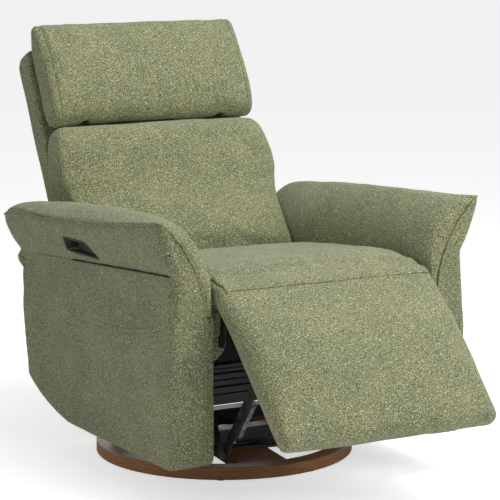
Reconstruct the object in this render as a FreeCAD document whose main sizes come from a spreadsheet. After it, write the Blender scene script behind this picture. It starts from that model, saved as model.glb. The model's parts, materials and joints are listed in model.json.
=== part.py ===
import FreeCAD, Part
import math
import os
import Sketcher

# Swivel glider recliner, in millimetres. The origin is the swivel axis on the floor, +Z is up and
# the chair faces -Y. The pose is the photographed one: footrest half out, back a little reclined.

Vector = FreeCAD.Vector
DOC = FreeCAD.newDocument("SwivelGliderRecliner")

SIZES = [
    # floor ring and its planks
    ("ring_radius", 310, "outer radius of the wooden floor ring"),
    ("ring_width", 40, "radial width of the ring"),
    ("ring_height", 30, "height of the ring"),
    ("pad_height", 3, "rubber floor pads stand this far below the ring"),
    ("pad_radius", 11, "radius of a floor pad"),
    ("pad_recess", 2, "depth that a floor pad is let into the ring"),
    ("plank_width", 120, "width of the two crossed planks"),
    ("plank_height", 20, "thickness of the planks"),
    ("plank_drop", 5, "plank top below the ring top"),
    ("plank_end", 14, "ring wood left outside a plank end"),
    ("base_turn", 8, "turn of the ring and its planks under the chair, degrees"),
    # swivel
    ("swivel_side", 220, "side of the square swivel plates"),
    ("swivel_gauge", 3, "sheet of the swivel plates"),
    ("race_radius", 80, "radius of the ball circle"),
    ("race_width", 22, "width of a ball race"),
    ("race_height", 5, "height of a ball race above or below its plate"),
    ("ball_radius", 4, "radius of a swivel ball"),
    ("ball_space", 0.3, "running clearance of the balls in their grooves"),
    ("bolt_radius", 8, "radius of the swivel bolt"),
    # turntable frame and glide
    ("rail_spacing", 95, "distance of a cross rail from the swivel axis"),
    ("rail_width", 40, "width of a cross rail"),
    ("rail_height", 30, "height of a cross rail"),
    ("rail_wall", 2.5, "wall of a cross rail"),
    ("link_gauge", 3.5, "thickness of the stamped links and plates"),
    ("link_gap", 2, "gap between two layers of links"),
    ("link_radius", 12, "half width of a link"),
    ("pin_radius", 4, "radius of the pivot rivets"),
    ("pin_space", 0.4, "running clearance round a rivet"),
    ("head_radius", 7.5, "radius of a rivet head"),
    ("head_height", 2, "height of a rivet head"),
    ("glide_spacing", 140, "distance of the glide pivots from the swivel axis"),
    ("glide_top", 262, "height of the upper glide pivots"),
    ("glide_length", 112, "length of a glide link between pivots"),
    # seat box
    ("seat_half", 276, "half width of the seat cushion"),
    ("box_half", 274, "half width of the seat box"),
    ("box_front", 426, "distance of the box front from the swivel axis"),
    ("box_rear", 172, "distance of the box rear from the swivel axis"),
    ("box_bottom", 320, "height of the box bottom"),
    ("box_top", 410, "height of the box top"),
    ("board_wood", 20, "thickness of the box rails"),
    ("tube_radius", 11, "radius of the cross tubes"),
    ("tube_wall", 2, "wall of the tubes"),
    ("tube_height", 298, "height of the cross tube axes"),
    ("tube_front", 60, "distance of the front cross tube before the swivel axis"),
    ("tube_rear", 120, "distance of the rear cross tube behind the swivel axis"),
    ("crest_height", 526, "height of the seat crest"),
    ("crest_front", 330, "distance of the seat crest before the swivel axis"),
    ("seat_rear", 91, "rear end of the seat cushion behind the swivel axis"),
    ("spring_spacing", 96, "spacing of the seat springs"),
    # footrest
    ("knee_y", -462, "footrest hinge axis, front to back"),
    ("knee_z", 462, "footrest hinge axis, height"),
    ("knee_radius", 35.4, "radius of the rounded pad end about its hinge"),
    ("pad_back", 24.6, "distance of the pad back behind the hinge axis"),
    ("pad_length", 382, "footrest pad below its hinge axis"),
    ("pad_crown", 11, "crown of the footrest pad"),
    ("footrest_angle", 45, "footrest opening in the photographed pose, degrees"),
    ("board_height", 12, "thickness of the footrest board"),
    ("crank_y", -330, "swing link pivot, front to back"),
    ("crank_z", 290, "swing link pivot, height"),
    ("lift_along", 200, "distance of the lift pivot below the hinge axis along the pad"),
    ("lift_behind", 48, "distance of the lift pivot behind the hinge axis"),
    # arms
    ("arm_inner", 279, "inner face of an arm pad"),
    ("arm_outer", 385, "outer face of an arm"),
    ("flare_reach", 420, "outermost line of an arm's flare"),
    ("arm_board_inner", 284, "inner face of the arm board"),
    ("arm_board_wood", 18, "thickness of the arm board"),
    ("arm_front", 465, "distance of the arm front from the swivel axis"),
    ("arm_rear", 333, "distance of the arm's rear edge from the swivel axis"),
    ("arm_bottom", 92, "height of the arm's lower edge"),
    ("welt_rear", 583, "height of the flare's welt at its rear"),
    ("welt_middle", 598, "height of the flare's welt in the middle"),
    ("welt_front", 648, "height of the flare's welt at the front tip"),
    ("crest_rear", 592, "height of the arm's crest at its rear"),
    ("crest_middle", 630, "height of the arm's crest in the middle"),
    ("crest_tip", 636, "height of the arm's crest near the front"),
    ("seam_rear", 475, "height of the pocket seam at the rear"),
    ("seam_front", 525, "height of the pocket seam at the front"),
    ("pocket_wall", 4, "thickness of the pocket's cloth panel"),
    ("pocket_depth", 18, "depth of the pocket"),
    ("pocket_bottom", 364, "lowest height of the pocket's bottom seam"),
    # release handle
    ("cup_length", 156, "length of the handle cup at its lower edge"),
    ("cup_height", 36, "height of the handle cup"),
    ("cup_slant", 34, "how far the cup's front end slants back towards its upper edge"),
    ("cup_centre_y", -26, "middle of the handle cup, front to back"),
    ("cup_centre_z", 530, "middle of the handle cup, height"),
    ("cup_bottom", 358, "distance of the cup's bottom from the middle plane"),
    ("cup_wall", 2.5, "wall of the handle cup"),
    # back
    ("back_y", 190, "recline axis behind the swivel axis"),
    ("back_z", 385, "height of the recline axis"),
    ("back_angle", 24, "lean of the back in the photographed pose, degrees"),
    ("shell_front", 57, "front of the back shell behind the recline axis"),
    ("shell_back", 121, "back of the back shell behind the recline axis"),
    ("shell_half", 277, "half width of the back shell between the arms"),
    ("shell_top_half", 291, "half width of the back shell at its top"),
    ("shell_top", 640, "top of the back shell above the recline axis"),
    ("shell_bottom", 60, "bottom of the back shell below the recline axis"),
    ("shell_wall", 12, "wall of the back shell"),
    ("post_width", 22, "width of a back frame post"),
    ("front_wall", 8, "wall of the back shell behind the headrest"),
    ("lumbar_top", 414, "top of the lumbar cushion above the recline axis"),
    ("lumbar_half", 300, "largest half width of the lumbar cushion"),
    ("lumbar_low_half", 273, "half width of the lumbar cushion between the arms"),
    ("lumbar_crown", 26, "how far the lumbar cushion's middle stands before its sides"),
    ("head_axis_y", 5, "headrest hinge axis behind the recline axis"),
    ("head_axis_z", 462, "headrest hinge axis above the recline axis"),
    ("head_round", 44, "radius of the headrest's lower end about its hinge"),
    ("head_half", 284, "half width of the headrest"),
    ("head_top", 688, "top of the headrest above the recline axis"),
    ("head_back", 50, "back of the headrest behind the recline axis"),
    ("head_arm_x", 180, "distance of a headrest arm from the middle plane"),
]


class Size:
    """A size with its present value and the sheet expression that gives it."""

    def __init__(self, value, text):
        self.value = float(value)
        self.text = text

    def join(self, other, sign, value):
        """Return this size joined to another by an arithmetic sign."""
        return Size(value, "(%s %s %s)" % (self.text, sign, other.text))

    def __add__(self, other):
        other = as_size(other)
        return self.join(other, "+", self.value + other.value)

    def __sub__(self, other):
        other = as_size(other)
        return self.join(other, "-", self.value - other.value)

    def __mul__(self, other):
        other = as_size(other)
        return self.join(other, "*", self.value * other.value)

    def __truediv__(self, other):
        other = as_size(other)
        return self.join(other, "/", self.value / other.value)

    def __radd__(self, other):
        return as_size(other) + self

    def __rsub__(self, other):
        return as_size(other) - self

    def __rmul__(self, other):
        return as_size(other) * self

    def __neg__(self):
        return as_size(0) - self


def as_size(number):
    """Return a Size, also for a plain number."""
    if isinstance(number, Size):
        return number
    return Size(number, "%.9g" % number)


def cosine(angle):
    """Cosine of a size in degrees."""
    return Size(math.cos(math.radians(angle.value)), "cos(%s * 1 deg)" % angle.text)


def sine(angle):
    """Sine of a size in degrees."""
    return Size(math.sin(math.radians(angle.value)), "sin(%s * 1 deg)" % angle.text)


def length_of(run, rise):
    """Length of a line with this run and rise."""
    return Size(math.hypot(run.value, rise.value), "sqrt(%s * %s + %s * %s)" % (
        run.text, run.text, rise.text, rise.text))


def direction_of(run, rise):
    """Angle in degrees of a line with this run and rise."""
    return Size(math.degrees(math.atan2(rise.value, run.value)), "atan2(%s; %s) / 1 deg" % (
        rise.text, run.text))


def make_sheet():
    """Write the driving sizes into the sheet and return them by name."""
    sheet = DOC.addObject("Spreadsheet::Sheet", "Sizes")
    for row, (name, number, note) in enumerate(SIZES, start=1):
        sheet.set("A%d" % row, name)
        sheet.set("B%d" % row, str(number))
        sheet.set("C%d" % row, note)
        sheet.setAlias("B%d" % row, name)
    DOC.recompute()
    return {name: Size(sheet.get(name), "Sizes." + name) for name, number, note in SIZES}


S = make_sheet()
PIECES = []


def bind(thing, field, size):
    """Tie a property of a document object to the sheet."""
    thing.setExpression(field, as_size(size).text)


def place(thing, x=0, y=0, z=0):
    """Tie an object's position to the sheet."""
    for axis, size in zip("xyz", (x, y, z)):
        bind(thing, "Placement.Base." + axis, size)


def turn(thing, axis, angle):
    """Turn an object about an axis through its own base point, by a size in degrees."""
    angle = as_size(angle)
    thing.Placement = FreeCAD.Placement(thing.Placement.Base, FreeCAD.Rotation(axis, angle.value))
    bind(thing, "Placement.Rotation.Angle", angle)


def piece(thing, label):
    """Register an object as a sub-part under its node name."""
    thing.Label = label
    PIECES.append(thing)
    return thing


def box(x, y, z):
    """A box between two values on each axis."""
    thing = DOC.addObject("Part::Box", "Box")
    for field, (low, high) in zip(("Length", "Width", "Height"), (x, y, z)):
        bind(thing, field, high - low if isinstance(high, Size) else as_size(high) - low)
    place(thing, x[0], y[0], z[0])
    return thing


AXES = {"x": Vector(0, 1, 0), "y": Vector(1, 0, 0), "z": Vector(0, 0, 1)}
TURNS = {"x": 90, "y": -90, "z": 0}


def cylinder(axis, centre, radius, start, end):
    """A cylinder along one axis; centre holds the other two coordinates in X, Y, Z order."""
    thing = DOC.addObject("Part::Cylinder", "Cylinder")
    bind(thing, "Radius", radius)
    bind(thing, "Height", as_size(end) - start)
    thing.Placement = FreeCAD.Placement(Vector(), FreeCAD.Rotation(AXES[axis], TURNS[axis]))
    spot = list(centre)
    spot.insert("xyz".index(axis), start)
    place(thing, *spot)
    return thing


def fuse(things):
    """One solid from several."""
    thing = DOC.addObject("Part::MultiFuse", "Fuse")
    thing.Shapes = things
    thing.Refine = True
    return thing


def cut(base, tools):
    """A solid less others."""
    tool = tools[0] if len(tools) == 1 else fuse(tools)
    thing = DOC.addObject("Part::Cut", "Cut")
    thing.Base = base
    thing.Tool = tool
    thing.Refine = True
    return thing


def group(things):
    """Separate solids that share a node."""
    thing = DOC.addObject("Part::Compound", "Group")
    thing.Links = things
    return thing


def feature(shape, label, position=None, angle=None):
    """A sub-part from a shape made in code, turned about X and moved into place."""
    thing = DOC.addObject("Part::Feature", label)
    thing.Shape = shape
    if position:
        place(thing, 0, *position)
        turn(thing, Vector(1, 0, 0), angle)
    return piece(thing, label)


def plane_of(body, role):
    """One of a body's own origin planes."""
    return [item for item in body.Origin.OriginFeatures if item.Role == role][0]


def fix(sketch, geometry, point, u, v):
    """Hold a sketch point at two sizes from the origin."""
    for kind, axis, size in (("DistanceX", -2, u), ("DistanceY", -1, v)):
        size = as_size(size)
        if abs(size.value) < 1e-9:
            sketch.addConstraint(Sketcher.Constraint("PointOnObject", geometry, point, axis))
            continue
        index = sketch.addConstraint(
            Sketcher.Constraint(kind, -1, 1, geometry, point, size.value))
        sketch.setExpression("Constraints[%d]" % index, size.text)


def outline(body, plane, corners, circles=()):
    """A sketch on an origin plane: a closed line through the corners, and round holes."""
    sketch = body.newObject("Sketcher::SketchObject", "Sketch")
    sketch.AttachmentSupport = [(plane_of(body, plane), "")]
    sketch.MapMode = "FlatFace"
    points = [Vector(as_size(u).value, as_size(v).value, 0) for u, v in corners]
    count = len(points)
    for index in range(count):
        sketch.addGeometry(Part.LineSegment(points[index], points[(index + 1) % count]))
    for index in range(count):
        sketch.addConstraint(
            Sketcher.Constraint("Coincident", index, 2, (index + 1) % count, 1))
    for index, (u, v) in enumerate(corners):
        fix(sketch, index, 1, u, v)
    for u, v, radius in circles:
        centre = Vector(as_size(u).value, as_size(v).value, 0)
        circle = sketch.addGeometry(Part.Circle(centre, Vector(0, 0, 1), radius.value))
        fix(sketch, circle, 3, u, v)
        index = sketch.addConstraint(Sketcher.Constraint("Radius", circle, radius.value))
        sketch.setExpression("Constraints[%d]" % index, radius.text)
    return sketch


def plate(label, start, thickness, corners, circles=(), rounding=()):
    """A flat plate square to X from a sketched outline, with some of its corners rounded."""
    body = DOC.addObject("PartDesign::Body", label)
    sketch = outline(body, "YZ_Plane", corners, circles)
    pad = body.newObject("PartDesign::Pad", "Pad")
    pad.Profile = sketch
    bind(pad, "Length", thickness)
    body.setExpression("Placement.Base.x", as_size(start).text)
    DOC.recompute()
    spots = [Vector(0, as_size(u).value, as_size(v).value) for u, v in corners]
    last = pad
    for radius in sorted({size.value for size in rounding if size}):
        wanted = [spots[i] for i, size in enumerate(rounding) if size and size.value == radius]
        names = []
        for number, edge in enumerate(last.Shape.Edges, start=1):
            middle = edge.CenterOfMass
            level = Vector(0, middle.y, middle.z)
            along = edge.BoundBox.XLength > 0.9 * as_size(thickness).value
            if along and any(level.distanceToPoint(spot) < 0.01 for spot in wanted):
                names.append("Edge%d" % number)
        fillet = body.newObject("PartDesign::Fillet", "Fillet")
        fillet.Base = (last, names)
        source = [size for size in rounding if size and size.value == radius][0]
        bind(fillet, "Radius", source)
        DOC.recompute()
        last = fillet
    return body


def mirrored(side, low, high):
    """The X range of a piece on the right (+1) or left (-1) side."""
    if side > 0:
        return low, high
    return -as_size(high), -as_size(low)


SIDES = ((1, "right"), (-1, "left"))

DROOP_FROM = 285   # from here rearwards the arm's top rounds down
KNEE_GAP = 3       # gap between the seat cushion and the footrest's rounded end

# layers of the mechanism, from the seat box inwards
LAYER_STEP = S["link_gauge"] + S["link_gap"]
PLATE_OUT = S["box_half"] - S["board_wood"]
PLATE_IN = PLATE_OUT - S["link_gauge"]
LINK_OUT = PLATE_OUT - LAYER_STEP
LINK_IN = PLATE_IN - LAYER_STEP
POST_OUT = LINK_OUT - LAYER_STEP
POST_IN = LINK_IN - LAYER_STEP
BRACKET_OUT = POST_OUT - LAYER_STEP
BRACKET_IN = POST_IN - LAYER_STEP


def link(side, inner, outer, start, end, radius, hole=None):
    """A round-ended link between two spots given as Y and Z, with a hole at each if wanted."""
    run = as_size(end[0]) - start[0]
    rise = as_size(end[1]) - start[1]
    reach = length_of(run, rise)
    low, high = mirrored(side, inner, outer)
    solid = fuse([
        box((low, high), (as_size(0), reach), (-radius, radius)),
        cylinder("x", (0, 0), radius, low, high),
        cylinder("x", (reach, 0), radius, low, high),
    ])
    thing = solid
    if hole:
        thing = cut(solid, [
            cylinder("x", (0, 0), hole, low - 1, high + 1),
            cylinder("x", (reach, 0), hole, low - 1, high + 1)])
    place(thing, 0, start[0], start[1])
    turn(thing, Vector(1, 0, 0), direction_of(run, rise))
    return thing


def rivet(side, centre, back, front, collar):
    """A pivot rivet at Y, Z from its fixed end to its head, with a collar between two layers."""
    shank = mirrored(side, back, front)
    head = mirrored(side, back - S["head_height"], back)
    ring = mirrored(side, collar[0], collar[1])
    return fuse([
        cylinder("x", centre, S["pin_radius"], *shank),
        cylinder("x", centre, S["head_radius"], *head),
        cylinder("x", centre, S["head_radius"], *ring),
    ])


RING_BOTTOM = S["pad_height"]
RING_TOP = RING_BOTTOM + S["ring_height"]
PLANK_TOP = RING_TOP - S["plank_drop"]
PLANK_BOTTOM = PLANK_TOP - S["plank_height"]


def plank_shape(along, grow):
    """One plank with ends rounded to the ring, grown for the notch that it sits in."""
    half = S["plank_width"] / 2 + grow
    reach = S["ring_radius"] - S["plank_end"] + grow
    spans = {"x": ((-reach, reach), (-half, half)), "y": ((-half, half), (-reach, reach))}
    slab = box(spans[along][0], spans[along][1], (PLANK_BOTTOM, PLANK_TOP + grow))
    disc = cylinder("z", (0, 0), reach, PLANK_BOTTOM - 1, PLANK_TOP + 1)
    common = DOC.addObject("Part::MultiCommon", "Common")
    common.Shapes = [slab, disc]
    return common


def make_ring():
    """Floor ring turned from a rounded section, notched for the planks and the floor pads."""
    body = DOC.addObject("PartDesign::Body", "RingBody")
    outer = S["ring_radius"]
    inner = outer - S["ring_width"]
    sketch = outline(body, "XZ_Plane", [
        (inner, RING_BOTTOM), (outer, RING_BOTTOM), (outer, RING_TOP), (inner, RING_TOP)])
    ring = body.newObject("PartDesign::Revolution", "Revolution")
    ring.Profile = sketch
    ring.ReferenceAxis = (sketch, ["V_Axis"])
    ring.Angle = 360
    DOC.recompute()
    edges = ["Edge%d" % number for number, edge in enumerate(ring.Shape.Edges, start=1)
             if len(edge.Vertexes) == 1]
    fillet = body.newObject("PartDesign::Fillet", "Fillet")
    fillet.Base = (ring, edges)
    bind(fillet, "Radius", S["ring_height"] / 10)
    DOC.recompute()
    tools = [plank_shape("x", 0), plank_shape("y", 0)]
    middle = outer - S["ring_width"] / 2
    for number in range(8):
        angle = as_size(22.5 + 45 * number)
        tools.append(cylinder("z", (middle * cosine(angle), middle * sine(angle)),
                              S["pad_radius"], RING_BOTTOM - 1, RING_BOTTOM + S["pad_recess"]))
    thing = cut(body, tools)
    turn(thing, Vector(0, 0, 1), -S["base_turn"])
    piece(thing, "base_ring")


def make_floor_pads():
    """Eight rubber pads let into the underside of the ring, and one on the centre bolt's head."""
    middle = S["ring_radius"] - S["ring_width"] / 2
    pads = []
    for number in range(8):
        angle = as_size(22.5 + 45 * number)
        pads.append(cylinder("z", (middle * cosine(angle), middle * sine(angle)),
                             S["pad_radius"], as_size(0), RING_BOTTOM + S["pad_recess"]))
    pads.append(cylinder("z", (0, 0), S["bolt_radius"] * 1.8, as_size(0),
                         PLANK_BOTTOM - S["swivel_gauge"]))
    thing = group(pads)
    turn(thing, Vector(0, 0, 1), -S["base_turn"])
    piece(thing, "floor_pads")


def make_planks():
    """Two planks halved into each other where they cross."""
    half = S["plank_width"] / 2
    level = (PLANK_BOTTOM + PLANK_TOP) / 2
    for along, label, z in (("x", "cross_plank_lower", (level, PLANK_TOP + 1)),
                            ("y", "cross_plank_upper", (PLANK_BOTTOM - 1, level))):
        thing = cut(plank_shape(along, 0), [
            box((-half, half), (-half, half), z),
            cylinder("z", (0, 0), S["bolt_radius"], PLANK_BOTTOM - 1, PLANK_TOP + 1)])
        turn(thing, Vector(0, 0, 1), -S["base_turn"])
        piece(thing, label)


LOWER_PLATE = PLANK_TOP
LOWER_RACE = LOWER_PLATE + S["swivel_gauge"]
BALL_LEVEL = LOWER_RACE + S["race_height"] + 2
UPPER_RACE = BALL_LEVEL + 2
UPPER_PLATE = UPPER_RACE + S["race_height"]
RAIL_BOTTOM = UPPER_PLATE + S["swivel_gauge"]
RAIL_TOP = RAIL_BOTTOM + S["rail_height"]


def groove():
    """The ball groove, with its running clearance."""
    thing = DOC.addObject("Part::Torus", "Groove")
    bind(thing, "Radius1", S["race_radius"])
    bind(thing, "Radius2", S["ball_radius"] + S["ball_space"])
    place(thing, 0, 0, BALL_LEVEL)
    return thing


def swivel_plate(plate_z, race_z, hole):
    """A square plate with a raised ball race and a centre hole."""
    half = S["swivel_side"] / 2
    outer = S["race_radius"] + S["race_width"] / 2
    inner = S["race_radius"] - S["race_width"] / 2
    solid = fuse([box((-half, half), (-half, half), plate_z),
                  cut(cylinder("z", (0, 0), outer, *race_z),
                      [cylinder("z", (0, 0), inner, race_z[0] - 1, race_z[1] + 1)])])
    return cut(solid, [groove(), cylinder("z", (0, 0), hole, plate_z[0] - 1, plate_z[1] + 1)])


def make_swivel():
    """Two swivel plates, the balls between them and the bolt through them."""
    lower = swivel_plate((LOWER_PLATE, LOWER_RACE), (LOWER_RACE, LOWER_RACE + S["race_height"]),
                         S["bolt_radius"])
    turn(lower, Vector(0, 0, 1), -S["base_turn"])
    piece(lower, "swivel_lower_plate")
    upper = swivel_plate((UPPER_PLATE, RAIL_BOTTOM), (UPPER_RACE, UPPER_PLATE),
                         S["bolt_radius"] + S["ball_space"])
    piece(upper, "swivel_upper_plate")
    balls = []
    for number in range(16):
        angle = as_size(22.5 * number)
        ball = DOC.addObject("Part::Sphere", "Ball")
        bind(ball, "Radius", S["ball_radius"])
        place(ball, S["race_radius"] * cosine(angle), S["race_radius"] * sine(angle), BALL_LEVEL)
        balls.append(ball)
    piece(group(balls), "swivel_balls")
    radius = S["bolt_radius"]
    bolt = fuse([
        cylinder("z", (0, 0), radius, PLANK_BOTTOM, RAIL_BOTTOM + radius),
        cylinder("z", (0, 0), radius * 1.8, PLANK_BOTTOM - S["swivel_gauge"], PLANK_BOTTOM),
        cylinder("z", (0, 0), radius * 1.8, RAIL_BOTTOM + S["ball_space"], RAIL_BOTTOM + radius),
    ])
    piece(bolt, "swivel_bolt")


def make_turntable():
    """Two cross rails on the upper swivel plate and a post at each of their ends."""
    half_width = S["rail_width"] / 2
    wall = S["rail_wall"]
    for sign, end in ((-1, "front"), (1, "rear")):
        middle = S["rail_spacing"] * sign
        rail = cut(
            box((-POST_IN, POST_IN), (middle - half_width, middle + half_width),
                (RAIL_BOTTOM, RAIL_TOP)),
            [box((-POST_IN - 1, POST_IN + 1),
                 (middle - half_width + wall, middle + half_width - wall),
                 (RAIL_BOTTOM + wall, RAIL_TOP - wall))])
        piece(rail, "base_rail_" + end)
        near = (S["rail_spacing"] - half_width) * sign
        far = (S["rail_spacing"] + half_width) * sign
        pivot = S["glide_spacing"] * sign
        top = S["glide_top"]
        width = S["link_radius"]
        for side, hand in SIDES:
            low, high = mirrored(side, POST_IN, POST_OUT)
            corners = [(near, RAIL_BOTTOM), (far + width * sign, RAIL_BOTTOM),
                       (pivot + width * sign, top), (pivot + width * sign, top + width),
                       (pivot - width * sign, top + width), (pivot - width * sign, top),
                       (near, RAIL_TOP + width)]
            if sign < 0:
                corners = corners[::-1]
            round_at = [S["link_radius"] - 1 if corner[1] is corners[3][1]
                        and corner[1].value > top.value + 1 else None for corner in corners]
            post = plate("Post", low, S["link_gauge"], corners,
                         rounding=round_at)
            pin = rivet(side, (pivot, top), POST_IN, LINK_OUT + 1,
                        (POST_OUT, POST_OUT + S["link_gap"] - 0.3))
            piece(fuse([post, pin]), "glide_post_%s_%s" % (end, hand))


def make_glide_links():
    """Four hanging links between the posts and the seat's side plates."""
    hole = S["pin_radius"] + S["pin_space"]
    low = S["glide_top"] - S["glide_length"]
    for sign, end in ((-1, "front"), (1, "rear")):
        pivot = S["glide_spacing"] * sign
        for side, hand in SIDES:
            thing = link(side, LINK_IN, LINK_OUT, (pivot, low), (pivot, S["glide_top"]),
                         S["link_radius"], hole)
            piece(thing, "glide_link_%s_%s" % (end, hand))


# bolts that hold the arm boards to the seat box, each with a spacer
BOLT_SPOTS = [(y, S["box_bottom"] + 28) for y in (
    -S["box_front"] + 60, -S["box_front"] + 300, S["box_rear"] - 60)]
KNEE = (S["knee_y"], S["knee_z"])
CRANK = (S["crank_y"], S["crank_z"])
# the lift pivot in the photographed pose, turned about the knee with the pad
OPEN = S["footrest_angle"]
LIFT_DY = S["lift_behind"] * cosine(OPEN) - S["lift_along"] * sine(OPEN)
LIFT_DZ = -S["lift_behind"] * sine(OPEN) - S["lift_along"] * cosine(OPEN)
LIFT = (KNEE[0] + LIFT_DY, KNEE[1] + LIFT_DZ)
SWING_END = (CRANK[0] + LIFT_DY, CRANK[1] + LIFT_DZ)
BACK = (S["back_y"], S["back_z"])


def make_side_plates():
    """Stamped side plates that carry the glide, the footrest and the back."""
    radius = S["link_radius"]
    low = S["glide_top"] - S["glide_length"]
    strip_low = S["glide_top"] + radius + S["link_gap"]
    strip_high = S["box_bottom"] + 60
    for side, hand in SIDES:
        x_range = mirrored(side, PLATE_IN, PLATE_OUT)
        glide = S["glide_spacing"]
        corners = [
            (-glide - radius, low - radius), (-glide + radius, low - radius),
            (-glide + 2 * radius, strip_low), (glide - 2 * radius, strip_low),
            (glide - radius, low - radius), (glide + radius, low - radius),
            (glide + radius, strip_low), (BACK[0] + radius, BACK[1] - 2 * radius),
            (BACK[0] + radius, BACK[1] + radius), (BACK[0] - 2 * radius, BACK[1] + radius),
            (BACK[0] - 4 * radius, strip_high), (CRANK[0], strip_high),
            (CRANK[0] - radius, CRANK[1] + radius), (CRANK[0] - radius, CRANK[1] - radius),
            (-glide - radius, strip_low - radius),
        ]
        rounded = {0, 1, 4, 5, 8, 9, 12, 13}
        rounding = [S["link_radius"] - 2 if i in rounded else None for i in range(len(corners))]
        body = plate("SidePlate", x_range[0], S["link_gauge"], corners, rounding=rounding)
        elbow = (KNEE[0] + radius, strip_high - radius)
        arm = link(side, PLATE_IN, PLATE_OUT, elbow, KNEE, radius)
        bridge = link(side, PLATE_IN, PLATE_OUT, elbow, (CRANK[0] + 2 * radius, elbow[1]), radius)
        piece(fuse([body, arm, bridge]), "side_plate_" + hand)


def make_cross_tubes():
    """Two tubes that hold the side plates apart."""
    for label, y in (("cross_tube_front", -S["tube_front"]), ("cross_tube_rear", S["tube_rear"])):
        outer = cylinder("x", (y, S["tube_height"]), S["tube_radius"], -PLATE_IN, PLATE_IN)
        inner = cylinder("x", (y, S["tube_height"]), S["tube_radius"] - S["tube_wall"],
                         -PLATE_IN - 1, PLATE_IN + 1)
        piece(cut(outer, [inner]), label)


def make_seat_box():
    """Four wooden rails, the dust board under the front edge and the seat springs."""
    front = -S["box_front"]
    rear = S["box_rear"]
    wood = S["board_wood"]
    z = (S["box_bottom"], S["box_top"])
    for side, hand in SIDES:
        x = mirrored(side, PLATE_OUT, S["box_half"])
        holes = [cylinder("x", spot, S["pin_radius"], x[0] - 1, x[1] + 1) for spot in BOLT_SPOTS]
        piece(cut(box(x, (front, rear), z), holes), "seat_rail_" + hand)
    piece(box((-PLATE_IN, PLATE_IN), (front, front + wood), z), "seat_rail_front")
    piece(box((-PLATE_IN, PLATE_IN), (rear - wood, rear), z), "seat_rail_rear")
    piece(box((-POST_IN, POST_IN), (front - 1.6, front), (z[0] + 2, z[1] - 2)), "dust_board")
    make_seat_springs(front.value, rear.value, wood.value)


def make_seat_springs(front, rear, wood):
    """Five flat zigzag springs hooked between the front and rear rails, as bent wire."""
    wire = 1.8
    pitch = 26.0
    swing = 22.0
    level = S["box_top"].value - 4 * wire
    start = front + wood
    end = rear - wood
    turns = int((end - start - 20) / pitch)
    margin = (end - start - turns * pitch) / 2
    shapes = []
    for number in range(-2, 3):
        centre = number * S["spring_spacing"].value
        points = [Vector(centre, start, level), Vector(centre, start + margin, level)]
        for step in range(turns):
            sign = 1 if step % 2 else -1
            points.append(Vector(centre + sign * swing, start + margin + step * pitch, level))
            points.append(Vector(centre + sign * swing, start + margin + (step + 1) * pitch, level))
        points.append(Vector(centre, end - margin, level))
        points.append(Vector(centre, end, level))
        bars = []
        for a, b in zip(points[:-1], points[1:]):
            run = b - a
            bars.append(Part.makeCylinder(wire, run.Length, a, run))
            bars.append(Part.makeSphere(wire, b))
        shapes.append(bars[0].multiFuse(bars[1:-1]))
    feature(Part.makeCompound(shapes), "seat_springs")


def arc(a, b, c):
    """An arc edge through three points."""
    return Part.Arc(a, b, c).toShape()


def closed(parts, to_point):
    """A closed wire of lines and arcs; each part is the points after the running one."""
    edges = []
    here = parts[0][0]
    first = here
    for step in parts[1:]:
        if len(step) == 1:
            edges.append(Part.LineSegment(to_point(here), to_point(step[0])).toShape())
        else:
            edges.append(arc(to_point(here), to_point(step[0]), to_point(step[1])))
        here = step[-1]
    if (Vector(*here, 0) - Vector(*first, 0)).Length > 1e-6:
        edges.append(Part.LineSegment(to_point(here), to_point(first)).toShape())
    return Part.Wire(edges)


def loft(wires):
    """A ruled solid through sections of the same make."""
    shape = Part.makeLoft(wires, True, True)
    if shape.Volume < 0:
        shape.reverse()
    return shape


def across(x):
    """Map Y, Z pairs onto the plane at this X."""
    return lambda point: Vector(x, point[0], point[1])


def pad_stations():
    """Half widths of the seat and footrest cushions with their drawn-in depth at each."""
    half = S["seat_half"].value
    stations = [(half, 26), (half - 5, 12), (half - 18, 4), (half * 0.6, 1), (0, 0)]
    return stations + [(-x, drop) for x, drop in stations[-2::-1]]


def make_seat_cushion():
    """Crowned seat cushion, hollowed at the front round the footrest's rounded end."""
    knee_y, knee_z = KNEE[0].value, KNEE[1].value
    crest = S["crest_height"].value
    crest_y = -S["crest_front"].value
    rear = S["seat_rear"].value
    bottom = S["box_top"].value
    front = -S["box_front"].value

    def section(x, drop):
        gap = S["knee_radius"].value + KNEE_GAP - 0.5 * drop

        def on_knee(degrees):
            angle = math.radians(degrees)
            return knee_y + gap * math.cos(angle), knee_z + gap * math.sin(angle)

        top = crest - 1.1 * drop
        inset = drop * 0.5
        lip = on_knee(72)
        return closed([
            [lip],
            [(crest_y - 70, top - 8), (crest_y, top)],
            [(-150, top - 17), (rear - 42 - inset, top - 44)],
            [(rear - 10 - inset, top - 54), (rear - inset, top - 80)],
            [(rear - inset, bottom)],
            [(front, bottom)],
            [(front, knee_z - 12)],
            [on_knee(-10), on_knee(5)],
            [on_knee(40), lip],
        ], across(x))

    wires = [section(x, drop) for x, drop in pad_stations()]
    feature(loft(wires), "seat_cushion")


def blend_height(y, spots):
    """Height at y of the parabola through three (y, z) spots."""
    (a, za), (b, zb), (c, zc) = spots
    return (za * (y - b) * (y - c) / ((a - b) * (a - c)) + zb * (y - a) * (y - c) /
            ((b - a) * (b - c)) + zc * (y - a) * (y - b) / ((c - a) * (c - b)))


def droop(y):
    """How far the arm's top has rounded down at its rear end."""
    return 0.0042 * max(0, y - DROOP_FROM) ** 2


def welt_height(y):
    """Height of the flare's welt along the arm."""
    return blend_height(y, ((321, S["welt_rear"].value), (-67, S["welt_middle"].value),
                            (-S["arm_front"].value, S["welt_front"].value))) - droop(y)


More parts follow.
